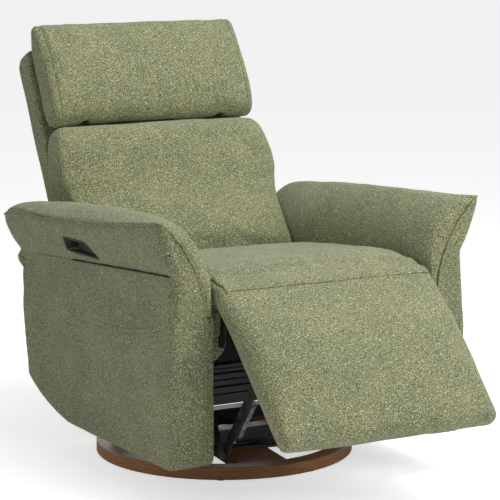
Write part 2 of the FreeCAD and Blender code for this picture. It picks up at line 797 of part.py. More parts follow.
def crest_height(y):
    """Height of the arm's crest along the arm."""
    return blend_height(y, ((276, S["crest_rear"].value), (-37, S["crest_middle"].value),
                            (-394, S["crest_tip"].value))) - droop(y)


def seam_height(y):
    """Height of the seam under the flare along the arm."""
    rear = S["seam_rear"].value
    front = S["seam_front"].value
    return rear + (front - rear) * (268 - y) / (268 + S["arm_front"].value)


SEAM_IN = 13       # how far the side leans in from its foot to the seam
JOIN_Z = 455       # height where the pad meets the cover on the inner side


def lower_edge(y):
    """Height of the arm's lower edge: level, then swept up towards the rear."""
    bottom = S["arm_bottom"].value
    sweep = y - 40
    if sweep <= 0:
        return bottom
    return bottom + 75 * (sweep / 257) ** 2


def welt_points(y, outer):
    """Inner lower end, middle and outer end of the welt's arc at this section."""
    inner = S["arm_board_inner"].value + S["arm_board_wood"].value
    top = welt_height(y)
    return (inner, JOIN_Z), (inner + 34, JOIN_Z + (top - JOIN_Z) * 0.53), (outer, top)


def cover_section(side, y, low, pull):
    """Section of the arm cover: side, flare and the hollow that the pad fills."""
    outer = S["arm_outer"].value - pull
    seam = seam_height(y)
    tip_x = S["flare_reach"].value - pull
    foot, middle, tip = welt_points(y, tip_x)
    low = min(low, JOIN_Z - 6)
    bend = max(min(350, seam - 12), low + 12) if low < 340 else low + (seam - low) * 0.5
    rise = (tip[1] - seam)
    return closed([
        [(foot[0], low)],
        [(outer - 8, low)],
        [(outer - 2.3, low + 2.3), (outer, low + 8)],
        [(outer, bend)],
        [(outer - SEAM_IN, seam)],
        [(outer - SEAM_IN + 25, seam + rise * 0.38), tip],
        [middle, foot],
    ], lambda point: Vector(side * point[0], y, point[1]))


def on_arc(ends, share):
    """Point at a share of the arc through three points."""
    curve = Part.Arc(*[Vector(point[0], point[1], 0) for point in ends])
    first, last = curve.FirstParameter, curve.LastParameter
    spot = curve.value(first + share * (last - first))
    return spot.x, spot.y


def pad_section(side, y, pull, full):
    """Section of the arm pad: over the crest and down the inner face."""
    ends = welt_points(y, S["flare_reach"].value - pull)
    foot, middle, tip = ends
    crest = crest_height(y)
    inner = S["arm_inner"].value

    def toward(place_on_arc, goal, share):
        start = on_arc(ends, place_on_arc)
        return (start[0] + share * (goal[0] - start[0]), start[1] + share * (goal[1] - start[1]))

    edge = toward(0.92, (tip[0] - 32, (tip[1] + crest) / 2 + 8), full)
    top = toward(0.78, (350 - 0.6 * pull, crest), full)
    shoulder = toward(0.5, (301, max(crest - 52, JOIN_Z + 0.62 * (crest - JOIN_Z))), full)
    hip_z = max(crest - 132, JOIN_Z + 0.2 * (crest - JOIN_Z))
    hip = toward(0.2, (inner, hip_z), 1 - (1 - full) * 0.35)
    low = JOIN_Z - 25
    return closed([
        [foot],
        [middle, tip],
        [edge, top],
        [shoulder, hip],
        [(hip[0], low)],
        [(foot[0], low)],
    ], lambda point: Vector(side * point[0], y, point[1]))


def make_arms():
    """Both arms: board, cover with its flare, and the pad over the top."""
    front = -S["arm_front"].value
    rear = S["arm_rear"].value
    # front to back: place, lower edge if not the swept one, drawn in, fullness of the pad
    stations = [(front, None, 12, 0.22), (front + 6, None, 4, 0.52), (front + 20, None, 0, 0.8),
                (front + 50, None, 0, 0.96)]
    stations += [(y, None, 0, 1) for y in (front + 90, -200, -60, 20, 80, 140, 190, 235, 270,
                                           rear - 36)]
    stations += [(rear - 7, 315, 1, 0.98), (rear, 430, 2, 0.94), (rear + 22, 440, 4, 0.85),
                 (rear + 42, 445, 12, 0.7), (rear + 54, 448, 26, 0.52), (rear + 60, 449, 44, 0.42)]
    inner = S["arm_inner"].value
    board_out = S["arm_board_inner"].value + S["arm_board_wood"].value
    for side, hand in SIDES:
        wires = [cover_section(side, y, lower_edge(y) if low is None else low, pull)
                 for y, low, pull, full in stations]
        raw = loft(wires)
        bottom = S["arm_bottom"].value
        wrap = Part.makeBox(board_out - inner + 1, 22, JOIN_Z - 25.3 - bottom,
                            Vector(inner if side > 0 else -board_out - 1, front + 2, bottom))
        cover = raw.fuse(wrap).removeSplitter()
        if side < 0:
            cover = cover.cut(pocket_hollow())
            cover = cover.cut(cup_block(0))
            make_handle(raw)
        feature(cover, "arm_cover_" + hand)
        wires = [pad_section(side, y, pull, full) for y, low, pull, full in stations]
        feature(loft(wires), "arm_pad_" + hand)
        wood_front = as_size(-S["arm_front"] + 25)
        board = plate("ArmBoard", mirrored(side, S["arm_board_inner"],
                                           S["arm_board_inner"] + S["arm_board_wood"])[0],
                      S["arm_board_wood"], [
            (wood_front, S["arm_bottom"] + 12), (S["arm_rear"] - 190, S["arm_bottom"] + 24),
            (S["arm_rear"] - 40, S["arm_bottom"] + 95), (S["arm_rear"] - 14, as_size(JOIN_Z - 25)),
            (wood_front, as_size(JOIN_Z - 25))],
            [(y, z, S["pin_radius"]) for y, z in BOLT_SPOTS])
        piece(board, "arm_board_" + hand)


def face_x(y, z):
    """Outer face of the arm's side at this place, as a distance from the middle plane."""
    seam = seam_height(y)
    share = min(max((z - 350) / (seam - 350), 0), 1)
    return S["arm_outer"].value - SEAM_IN * share


def pocket_low(y):
    """Height of the pocket's bottom seam, lowest behind its middle and swept up to the front."""
    rear, deepest, front = 66, -60, -444
    reach = (y - deepest) / ((rear if y > deepest else front) - deepest)
    return S["pocket_bottom"].value + (9 if y > deepest else 54) * reach ** 2.4


def slab(y_range, grow, top_drop, near, far):
    """A ruled slab that follows the left arm's side between two depths below its face."""
    wires = []
    for y in y_range:
        low = pocket_low(y) + grow
        high = seam_height(y) - top_drop
        spots = [(-face_x(y, low) + far, low), (-face_x(y, low) + near, low),
                 (-face_x(y, high) + near, high), (-face_x(y, high) + far, high)]
        points = [Vector(x, y, z) for x, z in spots]
        wires.append(Part.makePolygon(points + [points[0]]))
    return loft(wires)


POCKET_Y = (-436, -380, -320, -240, -150, -60, 20, 62)


def pocket_hollow():
    """Space behind the pocket's cloth, open at its top."""
    return slab(POCKET_Y, 0, 1, -30, S["pocket_depth"].value)


def make_pocket():
    """Cloth panel of the side pocket, with its open edge under the flare."""
    inside = (POCKET_Y[0] + 0.3,) + POCKET_Y[1:-1] + (POCKET_Y[-1] - 0.3,)
    feature(slab(inside, 0.3, 12, 0, S["pocket_wall"].value), "side_pocket")


def cup_block(inset):
    """The handle cup's outer block in the left arm, or its hollow when inset."""
    y = S["cup_centre_y"].value
    z = S["cup_centre_z"].value
    half = S["cup_length"].value / 2 - inset
    height = S["cup_height"].value / 2 - inset
    slant = S["cup_slant"].value
    bottom = S["cup_bottom"].value + inset
    outer = S["flare_reach"].value
    corners = [(y - half, z - height), (y + half, z - height), (y + half - slant / 3, z + height),
               (y - half + slant, z + height)]
    points = [Vector(-outer, a, b) for a, b in corners]
    face = Part.Face(Part.makePolygon(points + [points[0]]))
    return face.extrude(Vector(outer - bottom, 0, 0))


def make_handle(raw_cover):
    """Cup let into the flare, trimmed to the flare's face, and the paddle hinged in it."""
    cup = raw_cover.common(cup_block(0)).cut(cup_block(S["cup_wall"].value))
    feature(cup, "handle_cup")
    wall = S["cup_wall"].value
    start = S["cup_centre_y"].value - S["cup_length"].value / 2 + S["cup_slant"].value + wall + 4
    end = S["cup_centre_y"].value + S["cup_length"].value / 2 - S["cup_slant"].value / 3 - wall - 4
    length = end - start
    pin_z = S["cup_centre_z"].value + S["cup_height"].value / 2 - wall - 5
    pin_x = -S["cup_bottom"].value - wall - 6
    low = S["cup_centre_z"].value - S["cup_height"].value / 2 + wall + 2
    along = Vector(0, 1, 0)
    leaf = Part.makeBox(3, length, pin_z - low, Vector(pin_x - 1.5, start, low))
    grip = Part.makeCylinder(3, length, Vector(pin_x - 1, start, low + 3), along)
    boss = Part.makeCylinder(3.5, length, Vector(pin_x, start, pin_z), along)
    half = S["cup_length"].value / 2 - wall
    height = S["cup_height"].value / 2 - wall
    axle_radius = 1.6
    share = (pin_z + axle_radius - S["cup_centre_z"].value + height) / (2 * height)
    front = S["cup_centre_y"].value - half + S["cup_slant"].value * share + 0.1
    rear = S["cup_centre_y"].value + half - S["cup_slant"].value / 3 * share - 0.1
    axle = Part.makeCylinder(axle_radius, rear - front, Vector(pin_x, front, pin_z), along)
    feature(leaf.multiFuse([grip, boss, axle]), "release_paddle")


def make_footrest():
    """Pad, board and brackets of the footrest, modelled closed about the knee, then opened."""
    radius = S["knee_radius"].value
    back = S["pad_back"].value
    end = -S["pad_length"].value
    crown = S["pad_crown"].value

    def section(x, drop):
        face = -radius + 0.7 * drop
        bulge = crown * (1 - drop / 30)
        rim = radius - 0.5 * drop
        rear = back - 0.35 * drop
        corner = 0.3 * (rear - face)
        low = end + 0.6 * drop
        return closed([
            [(face, 0)],
            [(-rim * 0.7071 + 0.1 * drop, rim * 0.7071), (0, rim)],
            [(rear * 0.55, math.sqrt(rim ** 2 - (rear * 0.55) ** 2)),
             (rear, math.sqrt(rim ** 2 - rear ** 2))],
            [(rear, low + corner)],
            [(rear - 0.3 * corner, low + 0.3 * corner), (rear - corner, low)],
            [(face + corner, low)],
            [(face + 0.2 * corner, low + 0.5 * corner), (face - 0.2 * bulge, low + 2 * corner)],
            [(face - bulge, end * 0.5), (face, 0)],
        ], across(x))

    half = S["seat_half"].value
    pad = loft([section(x, drop) for x, drop in pad_stations()])
    board = S["board_height"].value
    low = end + 18
    width = 2 * half - 36
    pad = pad.cut(Part.makeBox(width + 0.6, board + 1, -62 - low + 0.6,
                               Vector(-width / 2 - 0.3, back - board - 0.3, low - 0.3)))
    inner = LINK_IN.value - 2
    width = S["seat_half"].value - 13 - inner
    for side in (1, -1):
        start = inner if side > 0 else -inner - width
        pad = pad.cut(Part.makeBox(width, back + 16, 26 + 145, Vector(start, -15, -145)))
    feature(pad, "footrest_pad", KNEE, -OPEN)

    board_half = S["seat_half"] - 18
    panel = box((-board_half, board_half), (S["pad_back"] - S["board_height"], S["pad_back"]),
                (-S["pad_length"] + 18, as_size(-62)))
    notches = []
    for side, hand in SIDES:
        notches.append(box(mirrored(side, LINK_IN - 1.5, board_half + 1),
                           (as_size(0), S["pad_back"] + 1), (as_size(-145), as_size(0))))
    board_piece = cut(panel, notches)
    place(board_piece, 0, *KNEE)
    turn(board_piece, Vector(1, 0, 0), -OPEN)
    piece(board_piece, "footrest_board")
    make_footrest_brackets()


def make_footrest_brackets():
    """Steel brackets: a leaf on the knee pin, a foot on the board and an ear for the lift link."""
    back = S["pad_back"]
    gauge = S["link_gauge"]
    radius = S["link_radius"]
    hole = S["pin_radius"] + S["pin_space"]
    for side, hand in SIDES:
        leaf = mirrored(side, LINK_IN, LINK_OUT)
        ear = mirrored(side, BRACKET_IN, BRACKET_OUT)
        solids = [
            cylinder("x", (0, 0), radius - 1, *leaf),
            box(leaf, (1 - radius, back + gauge), (-S["lift_along"] + 60, as_size(0))),
            box(mirrored(side, BRACKET_IN - 16, LINK_OUT), (back, back + gauge),
                (-S["lift_along"] - 40, as_size(-92))),
            box(ear, (back + gauge, S["lift_behind"]),
                (-S["lift_along"] - radius, -S["lift_along"] + radius)),
            cylinder("x", (S["lift_behind"], -S["lift_along"]), radius, *ear),
        ]
        body = cut(fuse(solids), [cylinder("x", (0, 0), hole, leaf[0] - 1, leaf[1] + 1)])
        pin = rivet(side, (S["lift_behind"], -S["lift_along"]), BRACKET_IN, POST_OUT + 1,
                    (BRACKET_OUT, BRACKET_OUT + S["link_gap"] - 0.3))
        thing = fuse([body, pin])
        place(thing, 0, *KNEE)
        turn(thing, Vector(1, 0, 0), -OPEN)
        piece(thing, "footrest_bracket_" + hand)


def make_footrest_links():
    """Swing links on their tube, and the lift links that carry the motion to the pad."""
    hole = S["pin_radius"] + S["pin_space"]
    radius = S["link_radius"]
    for side, hand in SIDES:
        swing = link(side, LINK_IN, LINK_OUT, SWING_END, CRANK, radius, hole)
        pin = rivet(side, SWING_END, POST_IN - 0.6, LINK_OUT,
                    (POST_OUT + 0.3, POST_OUT + S["link_gap"]))
        piece(fuse([swing, pin]), "swing_link_" + hand)
        lift = link(side, POST_IN, POST_OUT, SWING_END, LIFT, radius, hole + 0.6)
        piece(lift, "lift_link_" + hand)
    outer = cylinder("x", CRANK, S["tube_radius"], -LINK_IN, LINK_IN)
    inner = cylinder("x", CRANK, S["pin_radius"] + S["pin_space"], -LINK_IN - 1, LINK_IN + 1)
    piece(cut(outer, [inner]), "drive_tube")


def coil(start, end, radius, wire, turns, side):
    """A close helical spring between two points, one unbroken round wire."""
    axis = end - start
    pitch = axis.Length / turns
    edges = []
    steps = turns * 4
    across_axis = Vector(side, 0, 0)
    side_axis = axis.normalize().cross(across_axis)

    def spot(quarter):
        angle = quarter * math.pi / 2
        offset = across_axis * (radius * math.cos(angle)) + side_axis * (radius * math.sin(angle))
        return start + axis * (quarter * pitch / 4) + offset

    for number in range(steps):
        edges.append(arc(spot(number), spot(number + 0.5), spot(number + 1)))
    path = Part.Wire(edges)
    tangent = (spot(0.01) - spot(0)).normalize()
    circle = Part.Wire([Part.makeCircle(wire, spot(0), tangent)])
    return path.makePipeShell([circle], True, False)


def make_lift_springs():
    """Tension springs beside the lift links, each hooked at both ends of its link."""
    low = Vector(0, SWING_END[0].value, SWING_END[1].value)
    high = Vector(0, LIFT[0].value, LIFT[1].value)
    way = (high - low).normalize()
    radius = 6.5
    wire = 1.2
    for side, hand in SIDES:
        x = side * (BRACKET_IN.value - 10)
        start = low + way * 60 + Vector(x, 0, 0)
        end = high - way * 52 + Vector(x, 0, 0)
        solids = [coil(start, end, radius, wire, 22, side)]
        for foot, tip, reach in ((start, start - way * 22, 22), (end, end + way * 14, 14)):
            offset = Vector(side * radius, 0, 0)
            solids.append(Part.makeCylinder(wire, reach, foot + offset, tip - foot))
            stud = POST_IN.value - abs(x) - radius + 4
            solids.append(Part.makeCylinder(3, stud, Vector(side * POST_IN.value, tip.y, tip.z),
                                            Vector(-side, 0, 0)))
        feature(solids[0].multiFuse(solids[1:]), "lift_spring_" + hand)


def make_seat_fasteners():
    """Rivets of the side plates, and the bolts that join rails, plates and arms."""
    low = S["glide_top"] - S["glide_length"]
    pins = []
    for side, hand in SIDES:
        for spot, depth in (((-S["glide_spacing"], low), LINK_IN),
                            ((S["glide_spacing"], low), LINK_IN), (KNEE, LINK_IN),
                            (BACK, LINK_IN), (CRANK, LINK_IN - 14)):
            pins.append(cylinder("x", spot, S["pin_radius"],
                                 *mirrored(side, depth - 0.3, PLATE_IN)))
            pins.append(cylinder("x", spot, S["head_radius"],
                                 *mirrored(side, LINK_OUT + 0.3, PLATE_IN)))
    piece(fuse_pairs(pins), "seat_pins")
    bolts = []
    for side, hand in SIDES:
        for spot in BOLT_SPOTS:
            bolts.append(cylinder("x", spot, S["pin_radius"],
                                  *mirrored(side, PLATE_OUT, S["arm_board_inner"] + 12)))
            bolts.append(cylinder("x", spot, S["head_radius"] + 2,
                                  *mirrored(side, S["box_half"], S["arm_board_inner"])))
    piece(fuse_pairs(bolts), "seat_bolts")


def fuse_pairs(things):
    """Fuse each two neighbours into one solid and group the results."""
    return group([fuse([a, b]) for a, b in zip(things[::2], things[1::2])])


def back_section(x, spots):
    """A back piece's section at this X, from Y, Z steps in the back's own upright frame."""
    return closed(spots, across(x))


def make_back():
    """Shell, frame and brackets of the back, made upright about the recline axis."""
    front, back = S["shell_front"].value, S["shell_back"].value
    top, bottom = S["shell_top"].value, -S["shell_bottom"].value
    half = S["shell_half"].value
    wall = S["shell_wall"].value

    top_half = S["shell_top_half"].value

    def section(level, inset, bulge):
        share = min(max((level - 200) / (top - 200), 0), 1)
        reach = half + (top_half - half) * share - inset
        corner = 16
        rear = back - inset + bulge
        return closed([
            [(-reach, front)],
            [(reach, front)],
            [(reach, rear - corner)],
            [(reach - 0.3 * corner, rear - 0.3 * corner), (reach - corner, rear - bulge * 0.2)],
            [(0, rear + 1), (corner - reach, rear - bulge * 0.2)],
            [(0.3 * corner - reach, rear - 0.3 * corner), (-reach, rear - corner)],
        ], lambda point: Vector(point[0], point[1], level))

    wires = [section(level, inset, bulge) for level, inset, bulge in (
        (bottom, 12, 0), (bottom + 4, 4, 0), (bottom + 14, 0, 0), (200, 0, 4),
        ((top + 200) / 2, 0, 4), (top - 30, 0, 1), (top - 9, 5, 0), (top, 20, 0))]
    front_wall = S["front_wall"].value
    width = 2 * (half - wall)
    split = S["lumbar_top"].value - 14
    low = Part.makeBox(width, back - wall - front + 20, split - bottom - wall,
                       Vector(-half + wall, front - 20, bottom + wall))
    high = Part.makeBox(width, back - wall - front - front_wall, top - wall - split + 1,
                        Vector(-half + wall, front + front_wall, split - 1))
    tools = [low, high]
    axis_z = S["head_axis_z"].value
    for side in (1, -1):
        start = min(side * (S["head_arm_x"].value - 1),
                    side * (S["head_arm_x"] + S["link_gauge"] + 1).value)
        tools.append(Part.makeBox(S["link_gauge"].value + 2, front_wall + 2, 22,
                                  Vector(start, front - 1, axis_z - 11)))
    feature(loft(wires).cut(tools), "back_shell", BACK, -S["back_angle"])
    make_back_frame()


def upright(thing, label):
    """Lean a piece made in the back's upright frame, and register it."""
    place(thing, 0, *BACK)
    turn(thing, Vector(1, 0, 0), -S["back_angle"])
    return piece(thing, label)


def make_back_frame():
    """Wooden frame of two posts and three rails, its steel brackets and the headrest arms."""
    front = S["shell_front"] + S["front_wall"]
    y = (front, S["shell_back"] - S["shell_wall"])
    outer = LINK_IN
    inner = outer - S["post_width"]
    top = S["shell_top"] - S["shell_wall"] - 6
    low = -S["shell_bottom"] + S["shell_wall"] + 4
    parts = [box((-outer, -inner), y, (low, top)), box((inner, outer), y, (low, top))]
    for middle in (low + 20, S["lumbar_top"] * 0.55, S["head_axis_z"]):
        parts.append(box((-outer, outer), y, (middle - 18, middle + 22)))
    upright(fuse(parts), "back_frame")
    radius = S["link_radius"]
    hole = S["pin_radius"] + S["pin_space"]
    for side, hand in SIDES:
        x_range = mirrored(side, LINK_IN, LINK_OUT)
        body = fuse([
            plate("BackBracket", x_range[0], S["link_gauge"], [
                (as_size(0), -radius), (front, low), (front + 40, low),
                (front + 40, as_size(150)), (front + 4, as_size(150)),
                (front, as_size(56)), (as_size(0), radius)]),
            cylinder("x", (0, 0), radius, *x_range)])
        upright(cut(body, [cylinder("x", (0, 0), hole, x_range[0] - 1, x_range[1] + 1)]),
                "back_bracket_" + hand)
    arms = []
    axis = (S["head_axis_y"], S["head_axis_z"])
    for side, hand in SIDES:
        x_range = mirrored(side, S["head_arm_x"], S["head_arm_x"] + S["link_gauge"])
        arms.append(fuse([
            box(x_range, (axis[0], front), (axis[1] - 10, axis[1] + 10)),
            cylinder("x", axis, as_size(10), *x_range),
            cylinder("x", axis, S["pin_radius"], *mirrored(
                side, S["head_arm_x"], S["head_arm_x"] + 3 * S["link_gauge"])),
        ]))
    upright(group(arms), "headrest_arms")
    make_headrest_leaves(axis)


def make_headrest_leaves(axis):
    """Leaves inside the headrest that turn on the pins of the arms."""
    leaves = []
    hole = S["pin_radius"] + S["pin_space"]
    start = S["head_arm_x"] + S["link_gauge"] + 1
    for side, hand in SIDES:
        x_range = mirrored(side, start, start + S["link_gauge"])
        body = fuse([
            cylinder("x", axis, as_size(10), *x_range),
            box(x_range, (axis[0] - 10, axis[0] + 10), (axis[1], axis[1] + 90))])
        leaves.append(cut(body, [cylinder("x", axis, hole, x_range[0] - 1, x_range[1] + 1)]))
    upright(group(leaves), "headrest_leaves")


def make_lumbar():
    """Lumbar cushion: thick and crowned low down, widest over the arms, drawn in at its edges."""
    back = S["shell_front"].value - 0.3
    top = S["lumbar_top"].value
    widest = S["lumbar_half"].value
    narrow = S["lumbar_low_half"].value
    crown = S["lumbar_crown"].value
    # height, half width, front of the side seam, share of the crown, bottom edge drawn back
    levels = [(22, narrow - 9, -76, 0.2), (30, narrow - 3, -88, 0.5), (56, narrow, -92, 0.8),
              (96, narrow, -86, 1.0), (150, narrow + 3, -72, 1.0), (190, narrow + 7, -58, 1.0),
              (232, widest - 9, -46, 1.0), (275, widest, -42, 1.0), (320, widest - 3, -41, 1.0),
              (370, widest - 13, -37, 0.9), (top - 22, widest - 20, -30, 0.7),
              (top - 6, widest - 28, -17, 0.4), (top, widest - 40, -2, 0.1)]

    def section(level, half, front, share):
        soft = 10
        middle = front - crown * share - 2
        rear = min(back, 1.35 * (level - 22) - 40)
        return closed([
            [(-half + soft, rear)],
            [(half - soft, rear)],
            [(half - 2, rear - 3), (half, rear - soft)],
            [(half, front + 2 * soft)],
            [(half - 3, front + 0.6 * soft), (half - 1.4 * soft, front)],
            [(0, middle), (1.4 * soft - half, front)],
            [(3 - half, front + 0.6 * soft), (-half, front + 2 * soft)],
            [(-half, rear - soft)],
            [(2 - half, rear - 3), (-half + soft, rear)],
        ], lambda point: Vector(point[0], point[1], level))

    wires = [section(*level) for level in levels]
    feature(loft(wires), "lumbar_cushion", BACK, -S["back_angle"])


def make_headrest():
    """Headrest pad, round at its lower end about the tilt axis, with slots for its hinges."""
    axis_y, axis_z = S["head_axis_y"].value, S["head_axis_z"].value
    round_r = S["head_round"].value
    back = S["head_back"].value
    top = S["head_top"].value
    half = S["head_half"].value

    def on_round(degrees, radius):
        angle = math.radians(degrees)
        return axis_y + radius * math.cos(angle), axis_z + radius * math.sin(angle)

    def section(x, drop):
        radius = round_r - 0.6 * drop
        return back_section(x, [
            [on_round(180, radius)],
            [on_round(225, radius), on_round(270, radius)],
            [on_round(298, radius), on_round(325, radius)],
            [(back - 0.2 * drop, axis_z + 14)],
            [(back - 0.2 * drop, 600)],
            [(back - 4 - 0.2 * drop, 640), (back - 12 - 0.2 * drop, top - 24 - 0.6 * drop)],
            [(back - 17 - 0.2 * drop, top - 7 - 0.6 * drop), (18, top - 0.7 * drop)],
            [(1 + 0.35 * drop, top - 5 - 0.7 * drop),
             (-12 + 0.7 * drop, top - 24 - 0.5 * drop)],
            [(axis_y - round_r - 3 + drop, 560), on_round(180, radius)],
        ])

    stations = [(half, 22), (half - 5, 10), (half - 18, 3), (half * 0.6, 0.5), (0, 0)]
    wires = [section(x, drop) for x, drop in stations]
    wires += [section(-x, drop) for x, drop in stations[-2::-1]]
    pad = loft(wires)
    arm = S["head_arm_x"].value
    gauge = S["link_gauge"].value
    for side in (1, -1):
        low, high = sorted((side * (arm - 3), side * (arm + 3 * gauge + 3)))
        pad = pad.cut(Part.makeBox(high - low, back + 10, 62, Vector(low, axis_y - 12, axis_z - 46)))
        low, high = sorted((side * (arm + gauge + 0.6), side * (arm + 2 * gauge + 1.4)))
        pad = pad.cut(Part.makeBox(high - low, 20.8, 92, Vector(low, axis_y - 10.4, axis_z)))
    feature(pad, "headrest_pad", BACK, -S["back_angle"])


def check(things):
    """Stop if an object failed or a sub-part's shape is empty or faulty."""
    for thing in DOC.Objects:
        if "Invalid" in thing.State or "Error" in thing.State:
            raise RuntimeError("failed object: %s %s" % (thing.Name, thing.State))
    faulty = [thing.Label for thing in things if thing.Shape.isNull()
              or not thing.Shape.isValid() or thing.Shape.Volume <= 0]
    if faulty:
        raise RuntimeError("faulty shapes: " + ", ".join(faulty))


def main():
    """Build every sub-part, check it and write it."""
    make_ring()
    make_floor_pads()
    make_planks()
    make_swivel()
    make_turntable()
    make_glide_links()
    make_side_plates()
    make_cross_tubes()
    make_seat_box()
    make_seat_cushion()
    make_arms()
    make_pocket()
    make_footrest()
    make_footrest_links()
    make_lift_springs()
    make_seat_fasteners()
    make_back()
    make_lumbar()
    make_headrest()
    DOC.recompute()
    check(PIECES)
    os.makedirs("parts", exist_ok=True)
    for thing in PIECES:
        thing.Shape.exportStep("parts/%s.step" % thing.Label)
        print(thing.Label, len(thing.Shape.Solids), round(thing.Shape.Volume / 1000, 1))


main()
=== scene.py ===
"""Visual model of a swivel glider recliner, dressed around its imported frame, in metres."""
import json
import logging
import math
from collections.abc import Callable
from dataclasses import dataclass, field
from enum import Enum
import bmesh
import bpy
import numpy as np
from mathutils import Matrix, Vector
from mathutils.bvhtree import BVHTree

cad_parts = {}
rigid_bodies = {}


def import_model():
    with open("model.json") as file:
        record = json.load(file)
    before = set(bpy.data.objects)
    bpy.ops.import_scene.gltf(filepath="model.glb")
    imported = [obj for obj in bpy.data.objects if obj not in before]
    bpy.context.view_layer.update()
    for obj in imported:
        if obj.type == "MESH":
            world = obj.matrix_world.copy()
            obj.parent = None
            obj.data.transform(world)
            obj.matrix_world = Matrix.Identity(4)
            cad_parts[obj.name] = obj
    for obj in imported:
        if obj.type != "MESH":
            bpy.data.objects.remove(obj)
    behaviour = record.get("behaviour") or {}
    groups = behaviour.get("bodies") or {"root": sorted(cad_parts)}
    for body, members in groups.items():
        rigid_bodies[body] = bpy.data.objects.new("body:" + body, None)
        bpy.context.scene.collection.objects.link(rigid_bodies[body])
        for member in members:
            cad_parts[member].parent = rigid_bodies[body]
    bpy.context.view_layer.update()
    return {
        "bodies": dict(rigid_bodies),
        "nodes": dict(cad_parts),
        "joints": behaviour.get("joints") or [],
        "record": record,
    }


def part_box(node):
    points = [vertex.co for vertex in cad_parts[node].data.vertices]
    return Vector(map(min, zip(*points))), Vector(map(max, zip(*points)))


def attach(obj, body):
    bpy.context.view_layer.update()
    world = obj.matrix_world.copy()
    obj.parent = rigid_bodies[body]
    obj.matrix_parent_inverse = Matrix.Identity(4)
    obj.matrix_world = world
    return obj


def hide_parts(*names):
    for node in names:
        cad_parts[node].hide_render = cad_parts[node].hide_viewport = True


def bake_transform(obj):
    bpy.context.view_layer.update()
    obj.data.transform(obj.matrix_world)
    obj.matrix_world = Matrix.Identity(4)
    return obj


LOG = logging.getLogger("recliner")
MM = 0.001


class Slot(Enum):
    """The record's material slots."""

    FABRIC = "fabric"
    BASE_WOOD = "base_wood"
    FRAME_WOOD = "frame_wood"
    BLACK_STEEL = "black_steel"
    BRIGHT_STEEL = "bright_steel"
    RUBBER = "rubber"
    BLACK_CLOTH = "black_cloth"
    DARK_PLASTIC = "dark_plastic"


class Side(Enum):
    """Left is -X, right is +X, as in the names of the CAD nodes."""

    LEFT = -1
    RIGHT = 1

    @property
    def hand(self) -> str:
        """The word used in node names."""
        return self.name.lower()


# Finishes


def linear(hex_colour: str) -> tuple[float, float, float, float]:
    """Turn an sRGB hex value into a linear colour.

    Args:
        hex_colour: six digits with a leading #.

    Returns:
        Linear red, green and blue, and an alpha of 1.
    """
    parts = [int(hex_colour[i:i + 2], 16) / 255 for i in (1, 3, 5)]
    red, green, blue = [c / 12.92 if c <= 0.04045 else ((c + 0.055) / 1.055) ** 2.4 for c in parts]
    return red, green, blue, 1.0


def add(tree: bpy.types.NodeTree, kind: str, links: dict | None = None,
        **settings) -> bpy.types.Node:
    """Add a shader node.

    Args:
        tree: the material's node tree.
        kind: the node's type name.
        links: input name or number to a socket that is linked, or a value that is set.
        settings: attributes of the node.

    Returns:
        The new node.
    """
    node = tree.nodes.new(kind)
    for name, value in settings.items():
        setattr(node, name, value)
    for key, value in (links or {}).items():
        if isinstance(value, bpy.types.NodeSocket):
            tree.links.new(value, node.inputs[key])
        else:
            node.inputs[key].default_value = value
    return node


